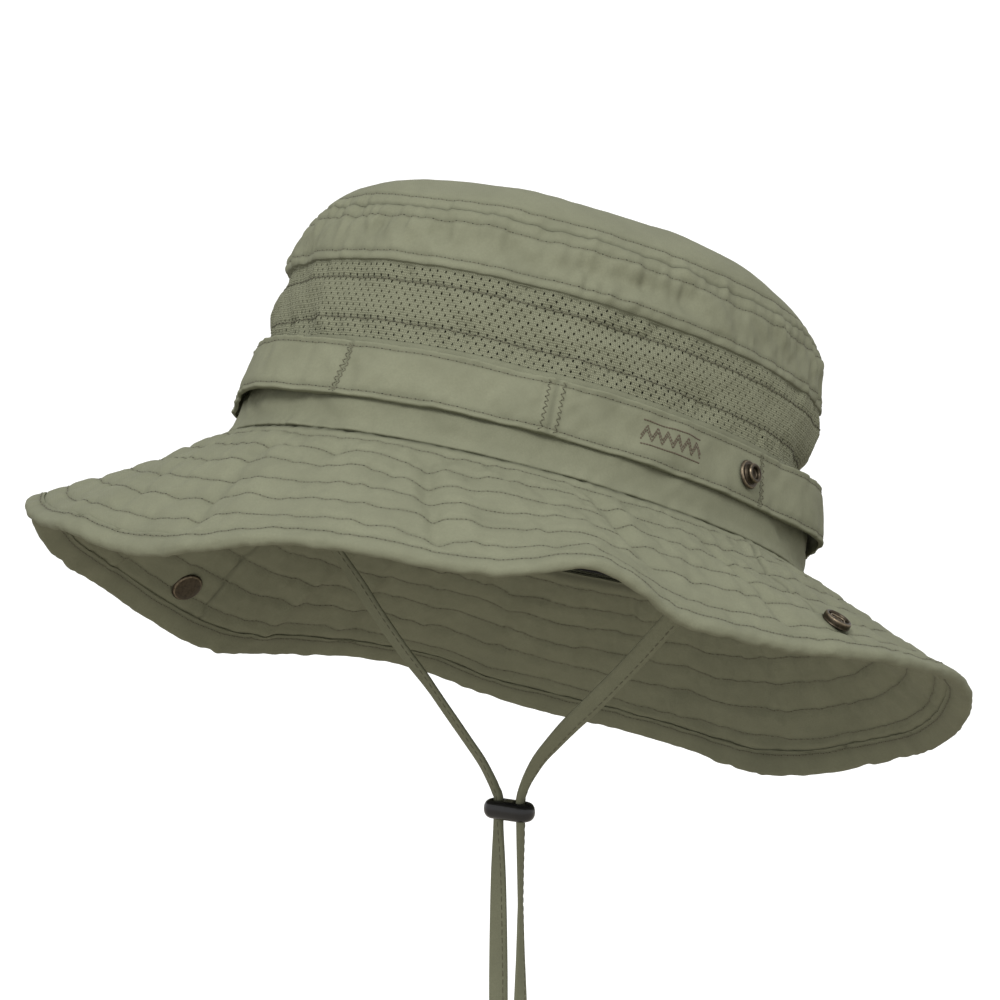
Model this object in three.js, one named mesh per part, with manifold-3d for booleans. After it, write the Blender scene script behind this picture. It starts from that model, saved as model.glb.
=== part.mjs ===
// A boonie hat: oval crown with a mesh ventilation panel, foliage strap, quilted snap-up brim and chin cord.
// Millimetres, +Z up, the wearer faces -Y and the wearer's left is +X.
// The origin is the centre of the head opening. The hat is worn tipped back, so it is drawn upright
// and then turned about X; the chin cord hangs straight down in the outer frame.
import * as THREE from "three";
import { mergeVertices } from "three/addons/utils/BufferGeometryUtils.js";
import Module from "manifold-3d";

const wasm = await Module();
wasm.setup();

// Driving dimensions
const HEAD_HALF_WIDTH = 81;
const HEAD_HALF_LENGTH = 103;
const MEAN_RADIUS = (HEAD_HALF_WIDTH + HEAD_HALF_LENGTH) / 2;
const TIP_BACK = THREE.MathUtils.degToRad(20.5);
const GAP = 0.3;
const PLY = 0.7;

// Crown side and tip as height and share of the head oval
const CROWN_PROFILE = [
  [0, 1], [15, 0.978], [30, 0.945], [52.5, 0.93], [66, 0.905], [75, 0.85],
  [80.5, 0.78], [84.5, 0.68], [87.2, 0.52], [88.8, 0.3], [89.3, 0],
];
const LOWER_SEAM = 29.7;
const UPPER_SEAM = 52.7;
const TIP_SEAM = 71.5;
const CROWN_CLOTH = 1;
const BASE_EDGE = 1;
const CROWN_STEPS = 40;

// Inside the crown
const TAPE_THICK = 0.6;
const TIP_TAPE = { below: 5, above: 2 };
const UPPER_TAPE = { below: 8, above: 4 };
const LOWER_TAPE = { below: 4, above: 8 };
const SWEATBAND_GAP = 0.9;
const SWEATBAND_TOP = 31;
const SWEATBAND_THICK = 1;
const LABEL_HEIGHTS = [5, 27];
const LABEL_THICK = 0.5;
const LABEL_HALF_TURN = 0.11;

// Brim: width along the cloth, and how steeply it droops (degrees)
const BRIM_WIDTH = 65;
const BRIM_STEPS = 60;
const MEAN_DROOP = 38;
const BRIM_CURL = 5;
// Folds of the rim: where they are, their half width, and how much deeper they droop (degrees)
const RIM_FOLDS = [
  [18, 30, -14], [84, 15, 11], [140, 13, -6], [174, 15, 12], [222, 11, -9], [263, 15, 10], [318, 8, -9],
];
// Where the brim is drawn in: share of its width, at a turn, over a half width (degrees)
const RIM_TUCK = { share: 0.05, turn: 223, half: 7 };
const BRIM_INNER = 1.5;
const CLOTH_EDGE = 63.2;
const BRIM_ROWS = [BRIM_INNER, 18, 38, 56, CLOTH_EDGE];
const INTERLINING = 0.6;
const BRIM_HALF = INTERLINING / 2 + GAP + PLY;
const PLY_JOIN = 0.15;
const BINDING_TOP = 59;
const BINDING_UNDER = 57;
const BINDING_EDGE = 65.2;

// Foliage strap
const STRAP_BOTTOM = 10.5;
const STRAP_TOP = 27.5;
const STRAP_GAP = 0.9;
const STRAP_THICK = 1.2;
// Each loop between two tacks: start and end in degrees, and how far it stands away
const STRAP_LOOPS = [
  [3, 48, 4.5], [48, 92, 1.2], [92, 137, 1.2], [137, 182, 1.2], [182, 227, 3.2], [227, 272, 3.2],
];

// Snaps: where they sit, and the fold line that brings them together
const SNAP_OUT = 49;
const SNAP_TURN = 3.7;
const STUD_TURN = 1.8;
const STUD_HEIGHT = 18.5;
const SNAP_GAP = 0.5;
const SNAP_SIDES = 14;
const SHANK_HOLE = 2;
const SHANK_HOLE_DEPTH = 16;
const POST_FLANGE = 0.5;
const CAP_HEAD = 1.1;
// Turned outlines as radius and height; shanks reach through the cloth
const STUD = [[1.9, 0], [4.1, 0], [4.1, 0.8], [3.2, 1.1], [2.9, 2.6], [2.4, 2.9], [1.9, 2.5], [1.9, 0]];
const SOCKET = [[1.9, 0], [4.2, 0], [4.2, 1.8], [3.9, 2.2], [3.4, 2.2], [3.3, 0.8], [1.9, 0.8], [1.9, 0]];
const SHANK = 1.5;
const POST_REACH = 2.3;
const CAP_REACH = 1.6;
const FOLD_TURN = THREE.MathUtils.degToRad(8.5);
const FOLD_OUT = { left: 98.6, right: 97.6 };
const FOLD_SLIT = 0.4;
const BOX = 400;

// Chin cord, in the outer frame
const CORD_RADIUS = 1.5;
const CORD_Y = -3.5;
const CORD_SIDES = 8;
const CORD_STEPS = 36;
const LOCK_X = -0.9;
const SLIDER_Z = -90;
const SLIDER_LENGTH = 17.6;
const SLIDER_WIDTH = 8;
const SLIDER_HEIGHT = 5.6;
const SLIDER_HOLE = 4.2;
const SLIDER_BORE = 1.95;
const KNOT_Z = -272;
const KNOT = [[0, -7], [4, -6], [6, -2], [6, 2], [4.2, 6], [0, 7.2]];

const SAGE = 0x8f907a;
const SHADE = 0x7c7c66;
const BLACK = 0x151515;
const LABEL = 0xd9d6cc;
const BRASS = 0x4a3d2c;

function cloth(colour) {
  return new THREE.MeshStandardMaterial({ color: colour, roughness: 0.85, metalness: 0 });
}

function brass() {
  return new THREE.MeshStandardMaterial({ color: BRASS, roughness: 0.4, metalness: 0.9 });
}

// A surface point from the angle round the head, a radius on the mean circle and a height
function ovalPoint(phi, radius, height) {
  const share = radius / MEAN_RADIUS;
  const x = HEAD_HALF_WIDTH * share * Math.cos(phi);
  const y = HEAD_HALF_LENGTH * share * Math.sin(phi);
  return new THREE.Vector3(x, y, height);
}

const crownCurve = new THREE.SplineCurve(
  CROWN_PROFILE.map(([height, share]) => new THREE.Vector2(share * MEAN_RADIUS, height)),
);

function crownParameter(height) {
  let low = 0;
  let high = 1;
  for (let i = 0; i < 40; i += 1) {
    const middle = (low + high) / 2;
    if (crownCurve.getPoint(middle).y < height) low = middle;
    else high = middle;
  }
  return (low + high) / 2;
}

// A point on the crown, moved out along the profile's normal
function crownPoint(phi, parameter, out) {
  const point = crownCurve.getPoint(parameter);
  const tangent = crownCurve.getTangent(parameter);
  const radius = Math.max(0, point.x + tangent.y * out);
  return ovalPoint(phi, parameter === 1 ? 0 : radius, point.y - tangent.x * out);
}

// How many degrees deeper than the mean the rim droops at an angle
function rimFold(phi) {
  const turn = THREE.MathUtils.radToDeg(phi);
  return RIM_FOLDS.reduce((sum, [centre, half, deeper]) => {
    const away = THREE.MathUtils.euclideanModulo(turn - centre + 180, 360) - 180;
    return sum + deeper * Math.exp(-((away / half) ** 2));
  }, 0);
}

// Share of the brim's width left at an angle, where a fold draws the cloth in
function tucked(phi) {
  const turn = THREE.MathUtils.euclideanModulo(THREE.MathUtils.radToDeg(phi), 360);
  return 1 - RIM_TUCK.share * Math.exp(-(((turn - RIM_TUCK.turn) / RIM_TUCK.half) ** 2));
}

// A point of the brim: distance out along the cloth, and height above its middle
function brimPoint(phi, flat, lift) {
  const along = flat * tucked(phi);
  const share = along / BRIM_WIDTH;
  const droop = MEAN_DROOP + rimFold(phi) * (0.4 + 0.6 * share) - BRIM_CURL * (1 - share);
  const slope = THREE.MathUtils.degToRad(droop);
  const normal = new THREE.Vector2(Math.cos(phi) / HEAD_HALF_WIDTH, Math.sin(phi) / HEAD_HALF_LENGTH);
  normal.normalize();
  const out = along * Math.cos(slope) + lift * Math.sin(slope);
  const x = HEAD_HALF_WIDTH * Math.cos(phi) + normal.x * out;
  const y = HEAD_HALF_LENGTH * Math.sin(phi) + normal.y * out;
  return new THREE.Vector3(x, y, lift * Math.cos(slope) - along * Math.sin(slope));
}

function signedVolume(points, faces) {
  let volume = 0;
  for (const [a, b, c] of faces) {
    const edge = new THREE.Vector3().crossVectors(points[b], points[c]);
    volume += points[a].dot(edge);
  }
  return volume;
}

function solidFrom(points, faces) {
  const outward = signedVolume(points, faces) > 0;
  const geometry = new THREE.BufferGeometry();
  const flat = points.flatMap((point) => [point.x, point.y, point.z]);
  geometry.setAttribute("position", new THREE.Float32BufferAttribute(flat, 3));
  geometry.setIndex(faces.flatMap(([a, b, c]) => (outward ? [a, b, c] : [a, c, b])));
  return geometry;
}

// Two triangles of one quad; the diagonal leans the same way on both faces of a layer
function quadFaces(here, there, j, k, rising) {
  if (rising) return [[here + j, there + j, there + k], [here + j, there + k, here + k]];
  return [[here + j, there + j, here + k], [there + j, there + k, here + k]];
}

// A closed section swept right round the head
function ringSolid(pointAt, section, steps) {
  const points = [];
  const faces = [];
  const rows = section.length;
  for (let i = 0; i < steps; i += 1) {
    const phi = (i / steps) * Math.PI * 2;
    for (const [a, b] of section) points.push(pointAt(phi, a, b));
  }
  for (let i = 0; i < steps; i += 1) {
    const here = i * rows;
    const there = ((i + 1) % steps) * rows;
    for (let j = 0; j < rows; j += 1) {
      const k = (j + 1) % rows;
      faces.push(...quadFaces(here, there, j, k, section[k][0] >= section[j][0]));
    }
  }
  return solidFrom(points, faces);
}

// A dome whose section starts and ends on the axis
function domeSolid(pointAt, section, steps) {
  const inner = section.slice(1, -1);
  const ring = ringSolid(pointAt, inner, steps);
  const points = [];
  const position = ring.getAttribute("position");
  for (let i = 0; i < position.count; i += 1) {
    points.push(new THREE.Vector3().fromBufferAttribute(position, i));
  }
  const top = points.push(pointAt(0, ...section[0])) - 1;
  const under = points.push(pointAt(0, ...section[section.length - 1])) - 1;
  const rows = inner.length;
  const faces = [];
  for (let i = 0; i < steps; i += 1) {
    const here = i * rows;
    const there = ((i + 1) % steps) * rows;
    for (let j = 0; j < rows - 1; j += 1) {
      faces.push(...quadFaces(here, there, j, j + 1, inner[j + 1][0] >= inner[j][0]));
    }
    faces.push([top, there, here], [under, here + rows - 1, there + rows - 1]);
  }
  return solidFrom(points, faces);
}

// A closed section swept over part of the way round, with flat ends
function arcSolid(pointAt, section, start, end, steps) {
  const points = [];
  const faces = [];
  const rows = section.length;
  for (let i = 0; i <= steps; i += 1) {
    const phi = start + (i / steps) * (end - start);
    for (const [a, b] of section) points.push(pointAt(phi, a, b));
  }
  for (let i = 0; i < steps; i += 1) {
    const here = i * rows;
    const there = here + rows;
    for (let j = 0; j < rows; j += 1) {
      const k = (j + 1) % rows;
      faces.push(...quadFaces(here, there, j, k, section[k][0] >= section[j][0]));
    }
  }
  const last = steps * rows;
  for (let j = 1; j < rows - 1; j += 1) {
    faces.push([0, j, j + 1], [last, last + j + 1, last + j]);
  }
  return solidFrom(points, faces);
}

function toManifold(geometry) {
  const bare = geometry.clone();
  bare.deleteAttribute("normal");
  bare.deleteAttribute("uv");
  const merged = mergeVertices(bare, 1e-4);
  const vertProperties = new Float32Array(merged.getAttribute("position").array);
  const triVerts = new Uint32Array(merged.getIndex().array);
  return new wasm.Manifold(new wasm.Mesh({ numProp: 3, vertProperties, triVerts }));
}

function fromManifold(solid) {
  const mesh = solid.getMesh();
  const geometry = new THREE.BufferGeometry();
  geometry.setAttribute("position", new THREE.Float32BufferAttribute(mesh.vertProperties, 3));
  geometry.setIndex(new THREE.Uint32BufferAttribute(mesh.triVerts, 1));
  return geometry;
}

function piece(name, geometry, material) {
  const mesh = new THREE.Mesh(geometry, material);
  mesh.name = name;
  return mesh;
}

const hat = new THREE.Group();
hat.rotation.x = -TIP_BACK;

// Section of a crown layer between two heights, from its outer face to its inner face
function crownSection(bottom, top, outer, inner, rows) {
  const start = crownParameter(bottom);
  const end = crownParameter(top);
  const outside = [];
  const inside = [];
  for (let i = 0; i <= rows; i += 1) {
    const parameter = start + ((end - start) * i) / rows;
    outside.push([parameter, outer]);
    inside.unshift([parameter, inner]);
  }
  return [...outside, ...inside];
}

function crownLayer(bottom, top, outer, inner, rows) {
  return ringSolid(crownPoint, crownSection(bottom, top, outer, inner, rows), CROWN_STEPS);
}

// Where a snap stud sits on the crown, with its outward direction
function studSeat(side, out) {
  const turn = THREE.MathUtils.degToRad(STUD_TURN);
  const phi = side === "left" ? -turn : Math.PI + turn;
  const parameter = crownParameter(STUD_HEIGHT);
  const near = crownPoint(phi, parameter, 0);
  const direction = crownPoint(phi, parameter, 1).sub(near).normalize();
  return { point: near.clone().addScaledVector(direction, out), direction };
}

// Where the brim snap sits, with the brim's upward direction
function brimSeat(side, lift) {
  const turn = THREE.MathUtils.degToRad(SNAP_TURN);
  const phi = side === "left" ? -turn : Math.PI + turn;
  const reach = 4;
  const swing = reach / (HEAD_HALF_LENGTH + SNAP_OUT);
  const outward = brimPoint(phi, SNAP_OUT + reach, 0).sub(brimPoint(phi, SNAP_OUT - reach, 0));
  const around = brimPoint(phi + swing, SNAP_OUT, 0).sub(brimPoint(phi - swing, SNAP_OUT, 0));
  const direction = outward.cross(around).normalize();
  return { point: brimPoint(phi, SNAP_OUT, 0).addScaledVector(direction, lift), direction };
}

// A turned profile (radius, height) standing on a seat
function turned(profile, seat) {
  const outline = profile.map(([radius, height]) => new THREE.Vector2(radius, height));
  const geometry = new THREE.LatheGeometry(outline, SNAP_SIDES);
  const spin = new THREE.Quaternion().setFromUnitVectors(new THREE.Vector3(0, 1, 0), seat.direction);
  geometry.applyQuaternion(spin);
  geometry.translate(seat.point.x, seat.point.y, seat.point.z);
  return geometry;
}

function shankHole(seat) {
  const geometry = new THREE.CylinderGeometry(SHANK_HOLE, SHANK_HOLE, SHANK_HOLE_DEPTH, 12);
  const spin = new THREE.Quaternion().setFromUnitVectors(new THREE.Vector3(0, 1, 0), seat.direction);
  geometry.applyQuaternion(spin);
  geometry.translate(seat.point.x, seat.point.y, seat.point.z);
  return toManifold(geometry);
}

function strapPoint(phi, parameter, out) {
  const turn = THREE.MathUtils.euclideanModulo(THREE.MathUtils.radToDeg(phi), 360);
  let proud = 0;
  for (const [start, end, rise] of STRAP_LOOPS) {
    if (turn > start && turn < end) proud = rise * Math.sin((Math.PI * (turn - start)) / (end - start)) ** 2;
  }
  return crownPoint(phi, parameter, out + proud);
}

function drillShankHoles(solid) {
  return solid.subtract(shankHole(studSeat("left", 0))).subtract(shankHole(studSeat("right", 0)));
}

function tipGeometry() {
  const start = crownParameter(TIP_SEAM + GAP);
  const shares = [1, 0.8, 0.6, 0.4, 0.2, 0];
  const outside = shares.map((share) => [start + (1 - start) * share, 0]);
  const inside = shares.map((share) => [start + (1 - start) * share, -CROWN_CLOTH]).reverse();
  return domeSolid(crownPoint, [...outside, ...inside], CROWN_STEPS);
}

function addCrown() {
  const inner = -CROWN_CLOTH;
  const upper = crownLayer(UPPER_SEAM + GAP, TIP_SEAM, 0, inner, 3);
  const panel = crownLayer(LOWER_SEAM + GAP, UPPER_SEAM, 0, inner, 1);
  const lower = drillShankHoles(toManifold(crownLayer(BASE_EDGE, LOWER_SEAM, 0, inner, 2)));
  hat.add(piece("crown_tip", tipGeometry(), cloth(SAGE)));
  hat.add(piece("crown_upper_band", upper, cloth(SAGE)));
  hat.add(piece("crown_mesh_panel", panel, cloth(SHADE)));
  hat.add(piece("crown_lower_band", fromManifold(lower), cloth(SAGE)));
}

// A tape inside the crown that covers one seam
function addTape(name, seam, tape, face) {
  const inner = face - TAPE_THICK;
  const layer = crownLayer(seam - tape.below, seam + tape.above, face, inner, 2);
  hat.add(piece(name, layer, cloth(SHADE)));
}

function addCrownTapes() {
  const face = -CROWN_CLOTH - GAP;
  addTape("tip_seam_tape", TIP_SEAM, TIP_TAPE, face - GAP);
  addTape("upper_mesh_tape", UPPER_SEAM, UPPER_TAPE, face);
  addTape("lower_mesh_tape", LOWER_SEAM, LOWER_TAPE, face);
}

function addSweatband() {
  const face = -CROWN_CLOTH - GAP - TAPE_THICK - SWEATBAND_GAP;
  const inner = face - SWEATBAND_THICK;
  hat.add(piece("sweatband", crownLayer(BASE_EDGE, SWEATBAND_TOP, face, inner, 2), cloth(BLACK)));
  const labelFace = inner - GAP;
  const section = crownSection(...LABEL_HEIGHTS, labelFace, labelFace - LABEL_THICK, 1);
  const back = Math.PI / 2;
  const label = arcSolid(crownPoint, section, back - LABEL_HALF_TURN, back + LABEL_HALF_TURN, 4);
  hat.add(piece("care_label", label, cloth(LABEL)));
}

function addFoliageStrap() {
  const section = crownSection(STRAP_BOTTOM, STRAP_TOP, STRAP_GAP + STRAP_THICK, STRAP_GAP, 1);
  const strap = drillShankHoles(toManifold(ringSolid(strapPoint, section, CROWN_STEPS)));
  hat.add(piece("foliage_strap", fromManifold(strap), cloth(SAGE)));
}

// A big box that holds everything outside one fold line, seen from above at the fold's turn
function outsideFold(side, start) {
  const geometry = new THREE.BoxGeometry(BOX, BOX, BOX);
  geometry.translate(start + BOX / 2, 0, 0);
  geometry.rotateZ(-FOLD_TURN);
  if (side === "right") geometry.rotateY(Math.PI);
  return toManifold(geometry);
}

// A big box that holds the front (-1) or the back (1) half of the hat
function halfSpace(direction) {
  const geometry = new THREE.BoxGeometry(BOX, BOX, BOX);
  geometry.translate(0, direction * (BOX / 2 + PLY_JOIN), 0);
  return toManifold(geometry);
}

// One brim layer, cut into its front, its back and the two side flaps that fold up
function addBrimLayer(name, section, colour, holed) {
  const whole = toManifold(ringSolid(brimPoint, section, BRIM_STEPS));
  let fixed = whole;
  for (const side of ["left", "right"]) {
    fixed = fixed.subtract(outsideFold(side, FOLD_OUT[side] - FOLD_SLIT));
    let flap = whole.intersect(outsideFold(side, FOLD_OUT[side] + FOLD_SLIT));
    if (holed) flap = flap.subtract(shankHole(brimSeat(side, 0)));
    hat.add(piece(`${name}_${side}_flap`, fromManifold(flap), cloth(colour)));
  }
  hat.add(piece(`${name}_front`, fromManifold(fixed.intersect(halfSpace(-1))), cloth(colour)));
  hat.add(piece(`${name}_back`, fromManifold(fixed.intersect(halfSpace(1))), cloth(colour)));
}

function flatLayer(bottom, top) {
  const under = BRIM_ROWS.map((along) => [along, bottom]);
  const over = BRIM_ROWS.map((along) => [along, top]).reverse();
  return [...under, ...over];
}

// The folded edge tape: from its top edge round the rim to its under edge, and back inside
function bindingSection() {
  const inner = BRIM_HALF + GAP;
  const outer = inner + PLY;
  const turn = BINDING_EDGE - PLY;
  return [
    [BINDING_TOP, outer], [turn, outer], [BINDING_EDGE, outer / 2], [BINDING_EDGE, -outer / 2],
    [turn, -outer], [BINDING_UNDER, -outer], [BINDING_UNDER, -inner],
    [CLOTH_EDGE + GAP, -inner], [CLOTH_EDGE + GAP, inner], [BINDING_TOP, inner],
  ];
}

function addBrim() {
  const core = INTERLINING / 2;
  addBrimLayer("brim_top_ply", flatLayer(core + GAP, BRIM_HALF), SAGE, true);
  addBrimLayer("brim_interlining", flatLayer(-core, core), SHADE, true);
  addBrimLayer("brim_under_ply", flatLayer(-BRIM_HALF, -core - GAP), SAGE, true);
  addBrimLayer("brim_binding", bindingSection(), SAGE, false);
}

// A round flange with a shank standing on it
function postProfile(head, length) {
  return [[0, 0], ...head, [SHANK, head[head.length - 1][1]], [SHANK, length], [0, length]];
}

function addSnaps() {
  const strapFace = STRAP_GAP + STRAP_THICK;
  const postFace = CROWN_CLOTH + SNAP_GAP;
  const post = postProfile([[4, 0], [4, POST_FLANGE]], postFace + strapFace + POST_REACH);
  const capHead = [[3.4, 0], [4.6, 0.3], [5, 0.9], [4.8, CAP_HEAD]];
  const cap = postProfile(capHead, (BRIM_HALF + SNAP_GAP) * 2 + CAP_REACH);
  for (const side of ["left", "right"]) {
    const stud = turned(STUD, studSeat(side, strapFace + GAP));
    const backing = turned(post, studSeat(side, -postFace - POST_FLANGE));
    const socket = turned(SOCKET, brimSeat(side, BRIM_HALF + SNAP_GAP));
    const button = turned(cap, brimSeat(side, -BRIM_HALF - SNAP_GAP - CAP_HEAD));
    hat.add(piece(`${side}_band_snap_stud`, stud, brass()));
    hat.add(piece(`${side}_band_snap_post`, backing, brass()));
    hat.add(piece(`${side}_brim_snap_socket`, socket, brass()));
    hat.add(piece(`${side}_brim_snap_cap`, button, brass()));
  }
}

// Each strand's route, from under the sweatband through the lock to the knot
const CORD_ROUTES = {
  left: [
    [78.6, -2.2], [70, -13], [60, -24], [46, -38.5], [32, -52], [22, -61], [15, -68], [10.4, -73],
    [7, -78], [4.8, -82], [3.5, -85.5], [3.3, -88], [3.3, -97], [3.3, -115], [3.3, -140],
    [3.3, -170], [3.3, -200], [2.8, -225], [1.9, -248], [1.5, KNOT_Z + 8],
  ],
  right: [
    [-78.6, -2.2], [-71, -12], [-62, -22.5], [-52, -34], [-42, -44.5], [-33, -53], [-25, -61.5],
    [-17, -70], [-11.5, -76], [-8, -81], [-6, -84.5], [-5.1, -87], [-5.1, -97], [-5.1, -115],
    [-5.1, -140], [-5.1, -170], [-5.1, -200], [-4.6, -225], [-3.7, -248], [-3.3, KNOT_Z + 8],
  ],
};

function addCord(side) {
  const outline = new THREE.Shape();
  for (let i = 0; i < CORD_SIDES; i += 1) {
    const turn = ((i + 0.5) / CORD_SIDES) * Math.PI * 2;
    const x = CORD_RADIUS * Math.cos(turn);
    const y = CORD_RADIUS * Math.sin(turn);
    if (i === 0) outline.moveTo(x, y);
    else outline.lineTo(x, y);
  }
  const points = CORD_ROUTES[side].map(([x, z]) => new THREE.Vector3(x, CORD_Y, z));
  const route = new THREE.CatmullRomCurve3(points);
  const settings = { steps: CORD_STEPS, extrudePath: route, curveSegments: 1 };
  const geometry = new THREE.ExtrudeGeometry(outline, settings);
  object.add(piece(`chin_cord_${side}`, geometry, cloth(SAGE)));
}

function roundEnded(length, width) {
  const half = length / 2 - width / 2;
  const outline = new THREE.Shape();
  outline.moveTo(-half, -width / 2);
  outline.lineTo(half, -width / 2);
  outline.absarc(half, 0, width / 2, -Math.PI / 2, Math.PI / 2, false);
  outline.lineTo(-half, width / 2);
  outline.absarc(-half, 0, width / 2, Math.PI / 2, Math.PI * 1.5, false);
  return outline;
}

function sliderBore(side) {
  const bore = new THREE.CylinderGeometry(SLIDER_BORE, SLIDER_BORE, SLIDER_HEIGHT * 2, 12);
  bore.rotateX(Math.PI / 2);
  bore.translate(side * SLIDER_HOLE, 0, SLIDER_HEIGHT / 2);
  return toManifold(bore);
}

function addSlider() {
  const settings = { depth: SLIDER_HEIGHT, bevelEnabled: false, curveSegments: 6 };
  const outline = roundEnded(SLIDER_LENGTH, SLIDER_WIDTH);
  const body = toManifold(new THREE.ExtrudeGeometry(outline, settings));
  const bored = body.subtract(sliderBore(-1)).subtract(sliderBore(1));
  const slider = piece("cord_slider", fromManifold(bored), cloth(BLACK));
  slider.position.set(LOCK_X, CORD_Y, SLIDER_Z - SLIDER_HEIGHT / 2);
  object.add(slider);
}

function addKnot() {
  const outline = KNOT.map(([radius, height]) => new THREE.Vector2(radius, height));
  const geometry = new THREE.LatheGeometry(outline, SNAP_SIDES).rotateX(Math.PI / 2);
  const knot = piece("cord_knot", geometry, cloth(SAGE));
  knot.position.set(LOCK_X, CORD_Y, KNOT_Z);
  object.add(knot);
}

const object = new THREE.Group();
addCrown();
addCrownTapes();
addSweatband();
addFoliageStrap();
addBrim();
addSnaps();
object.add(hat);
addCord("left");
addCord("right");
addSlider();
addKnot();

export default object;
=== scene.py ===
import math
from functools import partial

import bpy
import numpy as np
from mathutils import Matrix, Vector


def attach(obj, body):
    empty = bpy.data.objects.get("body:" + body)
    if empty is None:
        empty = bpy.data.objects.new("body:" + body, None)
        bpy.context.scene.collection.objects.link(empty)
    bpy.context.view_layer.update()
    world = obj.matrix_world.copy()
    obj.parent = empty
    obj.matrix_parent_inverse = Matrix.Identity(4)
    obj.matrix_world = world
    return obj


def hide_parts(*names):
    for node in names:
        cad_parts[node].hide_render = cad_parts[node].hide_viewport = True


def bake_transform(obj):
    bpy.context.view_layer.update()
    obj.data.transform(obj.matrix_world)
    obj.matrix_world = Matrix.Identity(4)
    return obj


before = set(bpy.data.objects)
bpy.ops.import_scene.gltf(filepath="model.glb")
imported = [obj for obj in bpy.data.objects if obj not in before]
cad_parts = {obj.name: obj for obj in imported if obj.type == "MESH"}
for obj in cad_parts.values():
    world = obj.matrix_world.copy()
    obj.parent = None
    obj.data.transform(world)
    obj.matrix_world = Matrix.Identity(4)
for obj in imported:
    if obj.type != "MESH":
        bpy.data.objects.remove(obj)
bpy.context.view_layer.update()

# Hat frame: millimetres, origin at the centre of the head opening, wearer faces -Y, wearer's left is +X
MM = 0.001
TIP_BACK = math.radians(20.5)
HALF_WIDTH = 81.0
HALF_LENGTH = 103.0
MEAN_RADIUS = (HALF_WIDTH + HALF_LENGTH) / 2

# Crown side and tip as height and share of the head oval
CROWN_PROFILE = [
    (0, 1), (15, 0.978), (30, 0.945), (52.5, 0.93), (66, 0.905), (75, 0.85),
    (80.5, 0.78), (84.5, 0.68), (87.2, 0.52), (88.8, 0.3), (89.3, 0),
]
LOWER_SEAM = 29.7
UPPER_SEAM = 52.7
TIP_SEAM = 71.5
MESH_STITCHES = (35.2, 47.6)
CLOTH = 0.7

# Brim: width along the cloth, and how steeply it droops (degrees)
BRIM_WIDTH = 65.0
MEAN_DROOP = 38.0
BRIM_CURL = 5.0
# Folds of the rim: where they are, their half width, and how much deeper they droop (degrees)
RIM_FOLDS = [
    (18, 30, -14), (84, 15, 11), (140, 13, -6), (174, 15, 12), (222, 11, -9), (263, 15, 10), (318, 8, -9),
]
# Where the brim is drawn in: share of its width, at a turn, over a half width (degrees)
TUCK_SHARE, TUCK_TURN, TUCK_HALF = 0.05, 223, 7
BRIM_START = -1.6
CLOTH_EDGE = 63.6
QUILT_ROWS = [5.0, 14.0, 23.0, 32.5, 42.0, 52.0]
BINDING_TOP = 58.8
BINDING_UNDER = 56.6
# The two side seams: distance out and turn (degrees)
SIDE_SEAMS = (
    [(0, 0), (10, -3.5), (18, -5.6), (28, -6.2), (37, -4.4), (48, -3.7), (65, -3)],
    [(0, 180), (65, 178)],
)
# Folds across the brim: angle at crown and rim, half width in mm, push, and where they start and end
BRIM_FOLDS = [
    (-66, -58.5, 3.2, -2.0, 4, 60), (-62, -54, 3.6, 1.1, 6, 60), (-38, -30, 3.2, -1.6, 3, 46),
    (-34, -26, 3.6, 0.9, 3, 50), (-17, -12, 3.0, -1.5, 12, 56), (-96, -92, 3.4, -1.3, 8, 60),
    (-90, -86, 4.0, 0.9, 10, 58), (-80, -84, 4.0, -0.8, 8, 46), (-112, -108, 3.4, -1.0, 20, 58),
    (-48, -46, 3.0, -0.8, 20, 58), (162, 165, 4.0, -1.8, 14, 62), (154, 152, 4.0, -1.2, 20, 60),
    (128, 131, 4.0, -1.2, 8, 50), (104, 98, 4.0, -1.2, 6, 56), (74, 80, 4.0, -1.1, 8, 54),
    (46, 42, 4.0, -1.4, 10, 60), (22, 25, 4.0, -1.0, 18, 60), (-128, -131, 4.0, -1.3, 8, 58),
    (-150, -147, 3.6, -1.2, 14, 60), (-172, -175, 3.4, -0.9, 22, 60), (192, 196, 3.4, 0.8, 20, 60),
]
HALVES = {"left": (-90, 90), "right": (90, 270)}

# Foliage strap: loops as start angle, end angle and how far they stand off
STRAP_BOTTOM = 10.5
STRAP_TOP = 27.5
STRAP_GAP = 0.9
STRAP_THICK = 1.2
STRAP_ROW = 1.8
STRAP_LOOPS = [
    (3, 48, 4.5), (48, 92, 1.2), (92, 137, 1.2), (137, 182, 1.2), (182, 227, 3.2), (227, 272, 3.2),
]
STRAP_TACKS = (-88, -45, 3, 48, 92, 137, 177, 227)
STRAP_LAP = -45

# Snaps and the fold line
BRIM_HALF = 1.3
SNAP_OUT = 49.0
SNAP_TURN = 3.7
STUD_TURN = 1.8
STUD_HEIGHT = 18.5
SNAP_GAP = 0.5

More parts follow.
